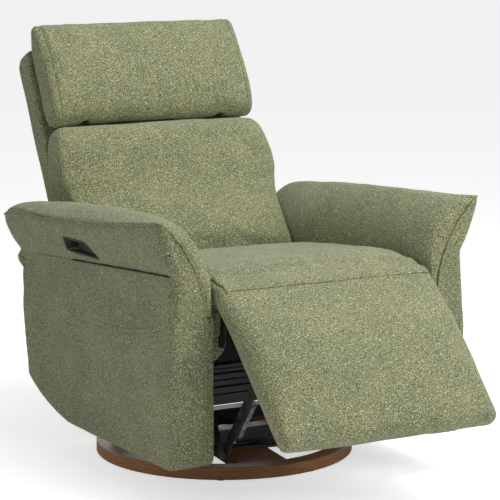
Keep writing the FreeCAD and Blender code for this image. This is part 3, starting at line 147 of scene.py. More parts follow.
@dataclass(frozen=True)
class Finish:
    """What every finish has: a name, its base colour and how rough and metallic it is."""

    name: str
    base: str
    roughness: float = 0.6
    metallic: float = 0.0

    def material(self) -> bpy.types.Material:
        """Make the material: a shader on Object coordinates, patterned by dress()."""
        made = bpy.data.materials.new(self.name)
        made.use_nodes = True
        tree = made.node_tree
        shader = tree.nodes["Principled BSDF"]
        shader.inputs["Base Color"].default_value = linear(self.base)
        shader.inputs["Roughness"].default_value = self.roughness
        shader.inputs["Metallic"].default_value = self.metallic
        where = add(tree, "ShaderNodeTexCoord").outputs["Object"]
        self.dress(tree, shader, where)
        return made

    def dress(self, tree: bpy.types.NodeTree, shader: bpy.types.Node,
              where: bpy.types.NodeSocket) -> None:
        """Add the finish's pattern to the shader; a subclass says how."""
        raise NotImplementedError

    @staticmethod
    def mixed(tree: bpy.types.NodeTree, share: bpy.types.NodeSocket | float,
              first: bpy.types.NodeSocket | tuple,
              second: bpy.types.NodeSocket | tuple) -> bpy.types.NodeSocket:
        """Mix two colours by a share and return the mixed colour's socket."""
        node = add(tree, "ShaderNodeMix", data_type="RGBA")
        for index, value in ((0, share), (6, first), (7, second)):
            if isinstance(value, bpy.types.NodeSocket):
                tree.links.new(value, node.inputs[index])
            else:
                node.inputs[index].default_value = value
        return node.outputs[2]

    @staticmethod
    def noise(tree: bpy.types.NodeTree, where: bpy.types.NodeSocket, size_mm: float,
              low: float, high: float, detail: float = 2.0,
              stretch: tuple[float, float, float] = (1, 1, 1),
              shift: float = 0.0) -> bpy.types.NodeSocket:
        """Noise with lumps of a real size, stretched to 0..1 between two of its levels.

        Args:
            tree: the material's node tree.
            where: the coordinates.
            size_mm: size of a lump.
            low: noise level that becomes 0.
            high: noise level that becomes 1.
            detail: octaves of finer noise.
            stretch: scale along X, Y and Z.
            shift: offset that makes this noise differ from another.

        Returns:
            The 0..1 value's socket.
        """
        place = add(tree, "ShaderNodeMapping",
                    {"Vector": where, "Scale": stretch, "Location": (shift, shift, shift)})
        texture = add(tree, "ShaderNodeTexNoise",
                      {"Vector": place.outputs[0], "Scale": 1 / (size_mm * MM), "Detail": detail})
        ramp = add(tree, "ShaderNodeMapRange",
                   {"Value": texture.outputs[0], "From Min": low, "From Max": high})
        return ramp.outputs[0]

    @staticmethod
    def bumped(tree: bpy.types.NodeTree, shader: bpy.types.Node, height: bpy.types.NodeSocket,
               depth_mm: float, strength: float = 1.0) -> None:
        """Link a height pattern of a real depth to the shader's normal."""
        bump = add(tree, "ShaderNodeBump",
                   {"Height": height, "Distance": depth_mm * MM, "Strength": strength})
        tree.links.new(bump.outputs[0], shader.inputs["Normal"])


@dataclass(frozen=True)
class TweedCloth(Finish):
    """Woven polyester tweed of thick flecked yarn: matt, speckled light and dark, with a soft nap.

    The real yarn is about 1.5 mm. At the render's 2.6 mm a pixel that wouldn't show, so its
    flecks and slubs are drawn 2.7 and 5 mm wide.
    """

    warm: str = "#8d905e"
    light: str = "#d3d5b8"
    dark: str = "#25271c"
    slub: str = "#34372a"
    fleck_mm: float = 2.7
    slub_mm: float = 5.0
    patch_mm: float = 90.0
    slub_share: float = 0.62
    nub_depth_mm: float = 1.1

    def dress(self, tree: bpy.types.NodeTree, shader: bpy.types.Node,
              where: bpy.types.NodeSocket) -> None:
        """Ground of two greens in broad patches, light and dark flecks, and a nubby surface."""
        patches = self.noise(tree, where, self.patch_mm, 0.35, 0.65, 3)
        ground = self.mixed(tree, patches, linear(self.base), linear(self.warm))
        dark = self.noise(tree, where, self.fleck_mm, 0.54, 0.68, 1, shift=3.1)
        flecked = self.mixed(tree, dark, ground, linear(self.dark))
        light = self.noise(tree, where, self.fleck_mm, 0.55, 0.69, 1, (1, 1, 1.3), shift=7.7)
        speckled = self.mixed(tree, light, flecked, linear(self.light))
        slubs = self.noise(tree, where, self.slub_mm, 0.3, 0.7, 2, (0.6, 0.6, 1.6), shift=1.9)
        shaded = self.mixed(tree, self.slub_share, linear(self.slub), speckled)
        colour = self.mixed(tree, slubs, speckled, shaded)
        tree.links.new(colour, shader.inputs["Base Color"])
        shader.inputs["Sheen Weight"].default_value = 0.22
        shader.inputs["Sheen Roughness"].default_value = 0.55
        shader.inputs["Specular IOR Level"].default_value = 0.25
        nubs = self.noise(tree, where, self.fleck_mm * 0.8, 0.25, 0.75, 2, shift=5.3)
        self.bumped(tree, shader, nubs, self.nub_depth_mm, 0.55)


@dataclass(frozen=True)
class StainedWood(Finish):
    """Stained and lacquered rubberwood: satin, with darker pores along the grain.

    On a ring the grain runs round the ring; on a board it runs along X.
    """

    pore: str = "#5a331c"
    light: str = "#b5824f"
    round_axis: bool = False
    grain_mm: float = 5.0

    def dress(self, tree: bpy.types.NodeTree, shader: bpy.types.Node,
              where: bpy.types.NodeSocket) -> None:
        """Long streaks of grain, fine pores and a little unevenness in the lacquer."""
        along = where
        if self.round_axis:
            parts = add(tree, "ShaderNodeSeparateXYZ", {0: where})
            angle = add(tree, "ShaderNodeMath", {0: parts.outputs[1], 1: parts.outputs[0]},
                        operation="ARCTAN2")
            run = add(tree, "ShaderNodeMath", {0: angle.outputs[0], 1: 0.3}, operation="MULTIPLY")
            reach = add(tree, "ShaderNodeVectorMath", {0: where}, operation="LENGTH")
            along = add(tree, "ShaderNodeCombineXYZ",
                        {0: run.outputs[0], 1: reach.outputs["Value"],
                         2: parts.outputs[2]}).outputs[0]
        streak = self.noise(tree, along, self.grain_mm, 0.3, 0.7, 4, (0.06, 1, 1))
        pores = self.noise(tree, along, 1.6, 0.55, 0.72, 2, (0.05, 1, 1), shift=4.2)
        wood = self.mixed(tree, streak, linear(self.base), linear(self.light))
        colour = self.mixed(tree, pores, wood, linear(self.pore))
        tree.links.new(colour, shader.inputs["Base Color"])
        shader.inputs["Coat Weight"].default_value = 0.25
        shader.inputs["Coat Roughness"].default_value = 0.3
        self.bumped(tree, shader, streak, 0.15, 0.3)


@dataclass(frozen=True)
class PaintedSteel(Finish):
    """Stamped steel with black satin powder paint: fine orange peel, duller where it is dusty."""

    dust: str = "#34343a"

    def dress(self, tree: bpy.types.NodeTree, shader: bpy.types.Node,
              where: bpy.types.NodeSocket) -> None:
        """Faint grey dust in patches, uneven gloss and the paint's orange peel."""
        patches = self.noise(tree, where, 30, 0.45, 0.75, 4)
        colour = self.mixed(tree, patches, linear(self.base), linear(self.dust))
        tree.links.new(colour, shader.inputs["Base Color"])
        gloss = add(tree, "ShaderNodeMapRange",
                    {"Value": patches, "To Min": self.roughness, "To Max": self.roughness + 0.2})
        tree.links.new(gloss.outputs[0], shader.inputs["Roughness"])
        self.bumped(tree, shader, self.noise(tree, where, 1.5, 0.3, 0.7, 1), 0.06, 0.5)


@dataclass(frozen=True)
class PlatedSteel(Finish):
    """Zinc plated wire, bolts and rivets: drawn and turned, with fine lines."""

    shade: str = "#77787a"

    def dress(self, tree: bpy.types.NodeTree, shader: bpy.types.Node,
              where: bpy.types.NodeSocket) -> None:
        """Small clouds in the plating and fine drawing lines."""
        clouds = self.noise(tree, where, 8, 0.35, 0.7, 3)
        colour = self.mixed(tree, clouds, linear(self.base), linear(self.shade))
        tree.links.new(colour, shader.inputs["Base Color"])
        lines = self.noise(tree, where, 0.8, 0.3, 0.7, 1, (1, 1, 0.1))
        self.bumped(tree, shader, lines, 0.05, 0.4)


@dataclass(frozen=True)
class DullPolymer(Finish):
    """Moulded plastic or rubber with a spark-eroded grain, or a non-woven cloth when coarse."""

    grain_mm: float = 1.2
    worn: str = "#3a3a3a"

    def dress(self, tree: bpy.types.NodeTree, shader: bpy.types.Node,
              where: bpy.types.NodeSocket) -> None:
        """Fine grain in the height and slightly greyer patches from handling."""
        patches = self.noise(tree, where, 25, 0.45, 0.8, 3)
        colour = self.mixed(tree, patches, linear(self.base), linear(self.worn))
        tree.links.new(colour, shader.inputs["Base Color"])
        self.bumped(tree, shader, self.noise(tree, where, self.grain_mm, 0.3, 0.7, 1), 0.12, 0.6)


FINISHES: dict[Slot, Finish] = {
    Slot.FABRIC: TweedCloth("woven_tweed", "#7d8259", 0.92),
    Slot.BASE_WOOD: StainedWood("stained_rubberwood", "#9a6238", 0.42, round_axis=True),
    Slot.FRAME_WOOD: StainedWood("raw_birch", "#c7a273", 0.7, pore="#9c7648", light="#dcc091"),
    Slot.BLACK_STEEL: PaintedSteel("powder_painted_steel", "#141416", 0.38, 0.0),
    Slot.BRIGHT_STEEL: PlatedSteel("zinc_plated_steel", "#b9babd", 0.32, 1.0),
    Slot.RUBBER: DullPolymer("black_rubber", "#1c1c1c", 0.8),
    Slot.BLACK_CLOTH: DullPolymer("nonwoven_dust_cloth", "#131314", 0.9, 0.0, 2.5, "#232325"),
    Slot.DARK_PLASTIC: DullPolymer("moulded_abs", "#3f4034", 0.6, 0.0, 1.2, "#55574a"),
}
THREAD = DullPolymer("dark_thread", "#4d5236", 0.8, 0.0, 1.0, "#5a603f")

NODE_SLOTS: dict[Slot, tuple[str, ...]] = {
    Slot.BASE_WOOD: ("base_ring", "cross_plank_lower", "cross_plank_upper"),
    Slot.FRAME_WOOD: ("back_frame",),
    Slot.BRIGHT_STEEL: ("swivel_balls", "swivel_bolt", "seat_pins", "seat_bolts", "seat_springs",
                        "lift_spring_left", "lift_spring_right"),
    Slot.RUBBER: ("floor_pads",),
    # the record gives the rails and boards the wood slot; here they wear the black dust cloth
    Slot.BLACK_CLOTH: ("dust_board", "seat_rail_left", "seat_rail_right", "seat_rail_front",
                       "seat_rail_rear", "arm_board_left", "arm_board_right", "footrest_board"),
    Slot.DARK_PLASTIC: ("handle_cup", "release_paddle"),
}


class Wardrobe:
    """Makes each finish once and dresses pieces with it."""

    def __init__(self) -> None:
        self.made: dict[str, bpy.types.Material] = {}

    def material(self, finish: Finish) -> bpy.types.Material:
        """Return the finish's material, made at its first use."""
        if finish.name not in self.made:
            self.made[finish.name] = finish.material()
        return self.made[finish.name]

    def wear(self, piece: bpy.types.Object, finish: Finish) -> None:
        """Give the whole piece one finish."""
        piece.data.materials.clear()
        piece.data.materials.append(self.material(finish))

    def dress_nodes(self, nodes: dict[str, bpy.types.Object]) -> None:
        """Give each CAD node that stays visible the finish of its slot."""
        slots = {name: slot for slot, names in NODE_SLOTS.items() for name in names}
        for name, node in nodes.items():
            finish = FINISHES[slots.get(name, Slot.BLACK_STEEL)]
            if node.data.materials:
                for index in range(len(node.data.materials)):
                    node.data.materials[index] = self.material(finish)
            else:
                self.wear(node, finish)


# Shapes on grids


@dataclass(frozen=True)
class Lean:
    """An upright frame that leans about an axis along X, as the back and the footrest do."""

    y: float
    z: float
    degrees: float

    def world(self, points: np.ndarray) -> np.ndarray:
        """Turn upright-frame millimetres into the object's millimetres."""
        c, s = math.cos(math.radians(self.degrees)), math.sin(math.radians(self.degrees))
        x, y, z = points[..., 0], points[..., 1], points[..., 2]
        return np.stack([x, self.y + y * c + z * s, self.z - y * s + z * c], -1)

    def local(self, points: np.ndarray) -> np.ndarray:
        """Turn the object's millimetres into upright-frame millimetres."""
        c, s = math.cos(math.radians(self.degrees)), math.sin(math.radians(self.degrees))
        x, y, z = points[..., 0], points[..., 1] - self.y, points[..., 2] - self.z
        return np.stack([x, y * c - z * s, y * s + z * c], -1)


BACK = Lean(190, 385, 24)   # about the recline axis
KNEE = Lean(-462, 462, 45)  # about the footrest's axis, at the photographed half-open pose
LEVEL = Lean(0, 0, 0)


def grid_piece(name: str, points: np.ndarray, loop: bool = False) -> bpy.types.Object:
    """Make a piece from a grid of points.

    Args:
        name: the piece's name.
        points: rows by columns by 3, in millimetres.
        loop: whether each row closes on itself.

    Returns:
        The new object, smooth shaded.
    """
    rows, columns = points.shape[:2]
    index = np.arange(rows * columns).reshape(rows, columns)
    if loop:
        index = np.concatenate([index, index[:, :1]], 1)
    quads = np.stack([index[:-1, :-1], index[:-1, 1:], index[1:, 1:], index[1:, :-1]], -1)
    mesh = bpy.data.meshes.new(name)
    mesh.from_pydata((points * MM).reshape(-1, 3).tolist(), [], quads.reshape(-1, 4).tolist())
    mesh.polygons.foreach_set("use_smooth", np.ones(len(mesh.polygons), bool))
    piece = bpy.data.objects.new(name, mesh)
    bpy.context.scene.collection.objects.link(piece)
    return piece


def evened(path: np.ndarray, step: float) -> np.ndarray:
    """Space points evenly along a path, by linear steps of its running length.

    Args:
        path: points by 3.
        step: wanted spacing.

    Returns:
        The new points by 3.
    """
    run = np.concatenate([[0], np.cumsum(np.linalg.norm(np.diff(path, axis=0), axis=1))])
    at = np.linspace(0, run[-1], max(int(run[-1] / step), 2) + 1)
    return np.stack([np.interp(at, run, path[:, k]) for k in range(3)], -1)


def tube_points(path: np.ndarray, radius: float, sides: int = 8,
                guide: tuple[float, float, float] = (1.0, 0.7, 0.5)) -> np.ndarray:
    """Rings of a round cord round a path, their ends drawn to a point.

    Each ring lies square to the path's direction; the guide only sets where a ring starts.

    Args:
        path: points by 3.
        radius: the cord's radius.
        sides: points in a ring.
        guide: a direction that the path never takes.

    Returns:
        Rings by sides by 3.
    """
    along = np.gradient(path, axis=0)
    along /= np.linalg.norm(along, axis=1, keepdims=True)
    first = np.cross(along, np.array(guide))
    first /= np.linalg.norm(first, axis=1, keepdims=True)
    second = np.cross(along, first)
    turn = np.linspace(0, 2 * math.pi, sides, endpoint=False)
    ring = (np.cos(turn)[None, :, None] * first[:, None] +
            np.sin(turn)[None, :, None] * second[:, None])
    rings = path[:, None] + ring * radius
    start = np.repeat(path[:1][:, None], sides, 1)
    end = np.repeat(path[-1:][:, None], sides, 1)
    return np.concatenate([start, rings, end], 0)


def closed_up(piece: bpy.types.Object, fill: bool = False) -> None:
    """Merge doubles, fill the open ends where asked, and make the faces point outwards."""
    made = bmesh.new()
    made.from_mesh(piece.data)
    bmesh.ops.remove_doubles(made, verts=made.verts, dist=1e-6)
    if fill:
        bmesh.ops.holes_fill(made, edges=made.edges, sides=0)
    bmesh.ops.recalc_face_normals(made, faces=made.faces)
    made.to_mesh(piece.data)
    made.free()


def walled(piece: bpy.types.Object, thickness: float, offset: float = -1.0) -> None:
    """Give a grid of cloth its thickness in millimetres and close it up."""
    wall = piece.modifiers.new("Wall", "SOLIDIFY")
    wall.thickness = thickness * MM
    wall.offset = offset
    Pad.settle(piece)
    closed_up(piece)


def coordinates(mesh: bpy.types.Mesh) -> np.ndarray:
    """The mesh's points in metres, points by 3."""
    flat = np.zeros(len(mesh.vertices) * 3)
    mesh.vertices.foreach_get("co", flat)
    return flat.reshape(-1, 3)


def normals(mesh: bpy.types.Mesh) -> np.ndarray:
    """The mesh's point normals, points by 3."""
    flat = np.zeros(len(mesh.vertices) * 3, np.float32)
    mesh.vertex_normals.foreach_get("vector", flat)
    return flat.reshape(-1, 3).astype(float)


def set_coordinates(mesh: bpy.types.Mesh, points: np.ndarray) -> None:
    """Write points in metres back into the mesh."""
    mesh.vertices.foreach_set("co", points.reshape(-1))
    mesh.update()


def ripple(points: np.ndarray, size: float) -> np.ndarray:
    """Gentle unevenness of stuffed cloth: four crossed sine waves of about one size, -1 to 1.

    Args:
        points: points by 3.
        size: wave length in the points' unit.

    Returns:
        One value a point.
    """
    ways = np.array([[0.9, 0.3, 0.5], [-0.4, 0.8, 0.6], [0.2, -0.6, 0.9], [0.7, 0.7, -0.3]])
    phases = np.array([0.3, 1.9, 4.1, 5.2])
    lengths = np.array([1.0, 1.3, 0.8, 1.7]) * size
    return np.sin(points @ ways.T * 2 * math.pi / lengths + phases).mean(-1)


@dataclass(frozen=True)
class Seam:
    """A sewn line that draws the cloth in where one coordinate of a frame has a value."""

    axis: int
    at: float
    depth: float
    width: float = 6.0
    mirrored: bool = False
    low: tuple[float, float, float] = (-1e4, -1e4, -1e4)
    high: tuple[float, float, float] = (1e4, 1e4, 1e4)

    def drawn_in(self, points: np.ndarray) -> np.ndarray:
        """How far each point is drawn in, in millimetres: a bell curve across the line."""
        value = np.abs(points[:, self.axis]) if self.mirrored else points[:, self.axis]
        within = np.all((points > np.array(self.low)) & (points < np.array(self.high)), 1)
        return self.depth * np.exp(-((value - self.at) / self.width) ** 2) * within


@dataclass
class Pad:
    """A stuffed piece that stands for a CAD solid.

    The solid is remeshed, swollen by a cloth simulation whose movement is capped, kept within a
    little of the solid's own box, and then its seams are drawn in.
    """

    node: str
    name: str
    body: str
    frame: Lean
    voxel: float = 8.0
    cap: float = 9.0
    pressure: float = 4.0
    shrink: float = 1.5
    proud: float = 4.0
    smooth: int = 6
    waves: float = 1.2
    fill: float = 0.7
    subdivide: bool = True
    swells: bool = True
    seams: tuple[Seam, ...] = ()
    shape: Callable[[np.ndarray], np.ndarray] | None = None
    frames: int = 20
    ripple_m: float = 0.11

    def copied(self, nodes: dict[str, bpy.types.Object]) -> bpy.types.Object:
        """Copy the CAD node with its doubles merged, remeshed in even cells and smoothed."""
        piece = bpy.data.objects.new(self.name, nodes[self.node].data.copy())
        bpy.context.scene.collection.objects.link(piece)
        closed_up(piece)
        remesh = piece.modifiers.new("Cells", "REMESH")
        remesh.mode = "VOXEL"
        remesh.voxel_size = self.voxel * MM
        soften = piece.modifiers.new("Soften", "SMOOTH")
        soften.factor = 0.5
        soften.iterations = self.smooth
        self.settle(piece)
        return piece

    @staticmethod
    def settle(piece: bpy.types.Object) -> None:
        """Apply the piece's modifiers to its mesh."""
        graph = bpy.context.evaluated_depsgraph_get()
        mesh = bpy.data.meshes.new_from_object(piece.evaluated_get(graph))
        piece.modifiers.clear()
        old = piece.data
        piece.data = mesh
        bpy.data.meshes.remove(old)

    def swell(self, piece: bpy.types.Object) -> None:
        """Blow the pad up as cloth for some frames and cap how far a point has moved."""
        start = coordinates(piece.data) - normals(piece.data) * self.shrink * MM
        set_coordinates(piece.data, start)
        cloth = piece.modifiers.new("Cloth", "CLOTH")
        cloth.settings.use_pressure = True
        cloth.settings.uniform_pressure_force = self.pressure
        cloth.settings.effector_weights.gravity = 0
        cloth.settings.tension_stiffness = 20
        cloth.settings.compression_stiffness = 20
        cloth.settings.bending_stiffness = 2
        scene = bpy.context.scene
        for frame in range(1, self.frames + 1):
            scene.frame_set(frame)
        self.settle(piece)
        scene.frame_set(1)
        moved = coordinates(piece.data) - start
        length = np.linalg.norm(moved, axis=1, keepdims=True)
        limited = moved * np.minimum(1, self.cap * MM / np.maximum(length, 1e-9))
        set_coordinates(piece.data, start + limited)

    def fit(self, piece: bpy.types.Object, solid: bpy.types.Object) -> None:
        """Stretch the pad along its own frame's axes until it fills its solid's extents again."""
        wanted = self.frame.local(coordinates(solid.data) / MM)
        points = self.frame.local(coordinates(piece.data) / MM)
        low, high = wanted.min(0), wanted.max(0)
        here, there = points.min(0), points.max(0)
        points = low + (points - here) * (high - low) / (there - here)
        set_coordinates(piece.data, self.frame.world(points) * MM)

    def finish(self, piece: bpy.types.Object) -> None:
        """Ripple the pad, draw its seams in, reshape it and clip it to near its solid's box."""
        low, high = (np.array(corner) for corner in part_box(self.node))
        if self.subdivide:
            finer = piece.modifiers.new("Finer", "SUBSURF")
            finer.levels = finer.render_levels = 1
            self.settle(piece)
        mesh = piece.data
        points = coordinates(mesh)
        inward = -self.waves * ripple(points, self.ripple_m)
        local = self.frame.local(points / MM)
        for seam in self.seams:
            inward = inward + seam.drawn_in(local)
        points = points - normals(mesh) * inward[:, None] * MM
        if self.shape:
            points = self.frame.world(self.shape(self.frame.local(points / MM))) * MM
        points = np.clip(points, low - self.proud * MM, high + self.proud * MM)
        set_coordinates(mesh, points)
        mesh.polygons.foreach_set("use_smooth", np.ones(len(mesh.polygons), bool))

    def make(self, nodes: dict[str, bpy.types.Object], wardrobe: Wardrobe) -> bpy.types.Object:
        """Make the pad, dress it and set it on its body.

        Args:
            nodes: the CAD nodes.
            wardrobe: the finishes.

        Returns:
            The finished piece.
        """
        piece = self.copied(nodes)
        if self.swells:
            self.swell(piece)
        if self.swells:
            self.fit(piece, nodes[self.node])
        self.finish(piece)
        wardrobe.wear(piece, FINISHES[Slot.FABRIC])
        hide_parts(self.node)
        settled(piece, self.body)
        return piece


def settled(piece: bpy.types.Object, body: str) -> None:
    """Set a finished piece on its body and report it."""
    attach(piece, body)
    LOG.info("%s rides on %s, %d faces", piece.name, body, len(piece.data.polygons))


def tree_of(piece: bpy.types.Object) -> BVHTree:
    """A search tree of the piece's faces, in metres."""
    return BVHTree.FromPolygons([v.co for v in piece.data.vertices],
                                [p.vertices for p in piece.data.polygons])


def laid_on(tree: BVHTree, guide: np.ndarray, way: np.ndarray, lift: float) -> np.ndarray:
    """Lay a path on a surface by casting each of its points along a direction.

    Args:
        tree: the surface's search tree.
        guide: points by 3 in millimetres, outside the surface.
        way: one direction, or points by 3, towards the surface.
        lift: millimetres that the path lies above the surface, or below it when negative.

    Returns:
        The points that met the surface, by 3, in millimetres.
    """
    ways = np.broadcast_to(way / np.linalg.norm(way, axis=-1, keepdims=True), guide.shape)
    found = [tree.ray_cast(Vector(g * MM), Vector(w)) for g, w in zip(guide, ways)]
    return np.array([np.array(hit[0]) / MM - w * lift
                     for hit, w in zip(found, ways) if hit[0] is not None])


def hugged(tree: BVHTree, path: np.ndarray, lift: float) -> np.ndarray:
    """Draw a path onto a surface's nearest points and smooth it.

    Args:
        tree: the surface's search tree.
        path: points by 3 in millimetres.
        lift: millimetres above the surface.

    Returns:
        The path on the surface.
    """
    found = [tree.find_nearest(Vector(point * MM)) for point in path]
    near = np.array([np.array(hit[0]) / MM + np.array(hit[1]) * lift for hit in found])
    for _ in range(4):
        near[1:-1] = (near[:-2] + 2 * near[1:-1] + near[2:]) / 4
    return near


@dataclass
class SewnLine:
    """A row of stitches, or a welt cord, laid along a path."""

    name: str
    body: str
    radius: float
    stitch: float = 0.0
    gap: float = 0.0
    finish: Finish = THREAD

    def make(self, path: np.ndarray, wardrobe: Wardrobe,
             guide: tuple[float, float, float] = (1.0, 0.7, 0.5)) -> bpy.types.Object:
        """Make the line's mesh: one cord, or a short cord for each stitch.

        Args:
            path: points by 3 in millimetres.
            wardrobe: the finishes.
            guide: a direction that the path never takes.

        Returns:
            The finished piece.
        """
        if not self.stitch:
            piece = grid_piece(self.name, tube_points(evened(path, 5.0), self.radius, 8, guide),
                               loop=True)
        else:
            fine = evened(path, (self.stitch + self.gap) / 4)
            count = len(fine) // 4
            pieces = [tube_points(fine[4 * k:4 * k + 3], self.radius, 5, guide)
                      for k in range(count)]
            blocks = [grid_piece(f"{self.name}_{k}", block, loop=True)
                      for k, block in enumerate(pieces)]
            piece = joined(self.name, blocks)
        closed_up(piece)
        wardrobe.wear(piece, self.finish)
        settled(piece, self.body)
        return piece


def joined(name: str, blocks: list[bpy.types.Object]) -> bpy.types.Object:
    """Join several objects into one new object and remove them."""
    made = bmesh.new()
    for block in blocks:
        made.from_mesh(block.data)
    mesh = bpy.data.meshes.new(name)
    made.to_mesh(mesh)
    made.free()
    for block in blocks:
        old = block.data
        bpy.data.objects.remove(block)
        bpy.data.meshes.remove(old)
    mesh.polygons.foreach_set("use_smooth", np.ones(len(mesh.polygons), bool))
    piece = bpy.data.objects.new(name, mesh)
    bpy.context.scene.collection.objects.link(piece)
    return piece


# The chair's parts


def through(y: np.ndarray, spots: tuple[tuple[float, float], ...]) -> np.ndarray:
    """Height at y of the parabola through three (y, z) spots."""
    (a, za), (b, zb), (c, zc) = spots
    return (za * (y - b) * (y - c) / ((a - b) * (a - c)) +
            zb * (y - a) * (y - c) / ((b - a) * (b - c)) +
            zc * (y - a) * (y - b) / ((c - a) * (c - b)))


@dataclass
class Arm:
    """One arm: cover with its flare, rolled pad, and the welt between them."""

    side: Side
    outer: float = 385.0
    flare: float = 420.0
    board_out: float = 302.0
    front: float = -465.0
    rear: float = 333.0
    bottom: float = 92.0
    join_z: float = 455.0
    welt_radius: float = 2.6

    def welt_height(self, y: np.ndarray) -> np.ndarray:
        """Height of the flare's edge along the arm: a parabola that rounds down at the rear."""
        fall = 0.0042 * np.maximum(0, y - 285) ** 2
        return through(y, ((321, 583), (-67, 598), (self.front, 648))) - fall

    def seam_height(self, y: np.ndarray) -> np.ndarray:
        """Height of the seam under the flare: a straight line along the arm."""
        return 475 + 50 * (268 - y) / (268 - self.front)

    def welt_path(self) -> np.ndarray:
        """The welt: along the flare's edge, round the front corner and down the front's edge.

        The front part is the parabola through the tip, the middle and the foot of the flare's
        hollow, and then a straight line down the inner edge of the front face.
        """
        y = np.linspace(self.rear + 24, self.front + 8, 60)
        reach = np.interp(y, [self.front + 6, self.front + 20, self.rear, self.rear + 22,
                              self.rear + 40], [4, 0, 1, 4, 11])
        along = np.stack([self.flare - reach, y, self.welt_height(y)], -1)
        edge = self.front - 0.5
        top = float(self.welt_height(np.array(edge)))
        share = np.linspace(0, 1, 24)[1:]
        tip = np.array([self.flare - 10, top])
        middle = np.array([self.board_out + 34, self.join_z + (top - self.join_z) * 0.53])
        foot = np.array([self.board_out, self.join_z])
        bend = (tip * ((share - 0.5) * (share - 1) / 0.5)[:, None] +
                middle * (share * (share - 1) / -0.25)[:, None] +
                foot * (share * (share - 0.5) / 0.5)[:, None])
        down = np.stack([np.full(30, self.board_out),
                         np.linspace(self.join_z - 12, self.bottom + 6, 30)], -1)
        face = np.concatenate([bend, down])
        front = np.stack([face[:, 0], np.full(len(face), edge), face[:, 1]], -1)
        path = evened(np.concatenate([along, front]), 6.0)
        for _ in range(6):
            path[1:-1] = (path[:-2] + 2 * path[1:-1] + path[2:]) / 4
        return path * np.array([self.side.value, 1, 1])

    def make(self, nodes: dict[str, bpy.types.Object], wardrobe: Wardrobe) -> None:
        """Make the arm's cover, pad, welt and seam stitches."""
        hand = self.side.hand
        cover = Pad("arm_cover_" + hand, f"arm_cover_{hand}_cloth", "seat", LEVEL, voxel=5.0,
                    smooth=7, waves=1.0, swells=False, subdivide=False, proud=3.0,
                    shape=arm_form)
        cloth = cover.make(nodes, wardrobe)
        pad = Pad("arm_pad_" + hand, f"arm_pad_{hand}_cloth", "seat", LEVEL, voxel=7.0, cap=5.0,
                  smooth=5, waves=1.4, shrink=1.0, proud=5.0)
        pad.make(nodes, wardrobe)
        welt = SewnLine(f"arm_welt_{hand}", "seat", self.welt_radius, finish=FINISHES[Slot.FABRIC])
        welt.make(hugged(tree_of(cloth), self.welt_path(), self.welt_radius * 0.5), wardrobe,
                  (self.side.value * 1.0, 1.0, 0.6))
        y = np.linspace(self.rear - 70, self.front + 30, 120)
        guide = np.stack([np.full(len(y), self.side.value * 500.0), y,
                          self.seam_height(y) - 1], -1)
        path = laid_on(tree_of(cloth), guide, np.array([-self.side.value, 0.0, 0.0]), 0.0)
        SewnLine(f"flare_seam_{hand}", "seat", 0.8).make(path, wardrobe, (1.0, 0.2, 0.6))


@dataclass
class Pocket:
    """The cloth panel of the left arm's pocket: curved bottom, and its edge under the flare."""

    front: float = -436.0
    rear: float = 62.0
    seam_in: float = 13.0
    arm: Arm = field(default_factory=lambda: Arm(Side.LEFT))

    def low(self, y: np.ndarray) -> np.ndarray:
        """Height of the bottom seam: lowest behind its middle, swept up to both ends."""
        behind = y > -60
        reach = np.where(behind, (y + 60) / 126, (y + 60) / -384)
        return 364 + np.where(behind, 9, 54) * np.maximum(reach, 0) ** 2.4

    def face(self, y: np.ndarray, z: np.ndarray) -> np.ndarray:
        """Distance of the arm's side from the middle plane."""
        seam = self.arm.seam_height(y)
        share = np.clip((z - 350) / (seam - 350), 0, 1)
        return self.arm.outer - self.seam_in * share

    def make(self, wardrobe: Wardrobe) -> None:
        """Make the panel, which bulges a little towards its open edge, and its stitches."""
        y = np.linspace(self.front - 6, self.rear + 6, 110)[:, None]
        up = np.linspace(0, 1, 30)[None, :]
        z = self.low(y) - 6 + (self.arm.seam_height(y) - 2 - self.low(y) + 6) * up
        ends = np.minimum((y - self.front + 6) / 14, (self.rear + 6 - y) / 14).clip(0, 1)
        rise = np.minimum(up / 0.06, 1)
        bulge = 2.2 * np.sin(math.pi / 2 * ends) * np.sin(math.pi / 2 * rise) - 1.0
        bulge = bulge + 2.0 * np.sin(math.pi / 2 * ends) * up ** 2
        x = -(self.face(y, z) + bulge)
        panel = grid_piece("pocket_panel", np.stack([x, y + 0 * up, z], -1))
        walled(panel, 3.0)
        wardrobe.wear(panel, FINISHES[Slot.FABRIC])
        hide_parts("side_pocket")
        settled(panel, "seat")
        line = np.linspace(self.front + 8, self.rear - 8, 120)
        level = self.low(line) + 5
        path = np.stack([-(self.face(line, level) + 1.5), line, level], -1)
        SewnLine("pocket_stitches", "seat", 0.5, 5.0, 3.0).make(path, wardrobe, (0.9, 0.1, 0.5))


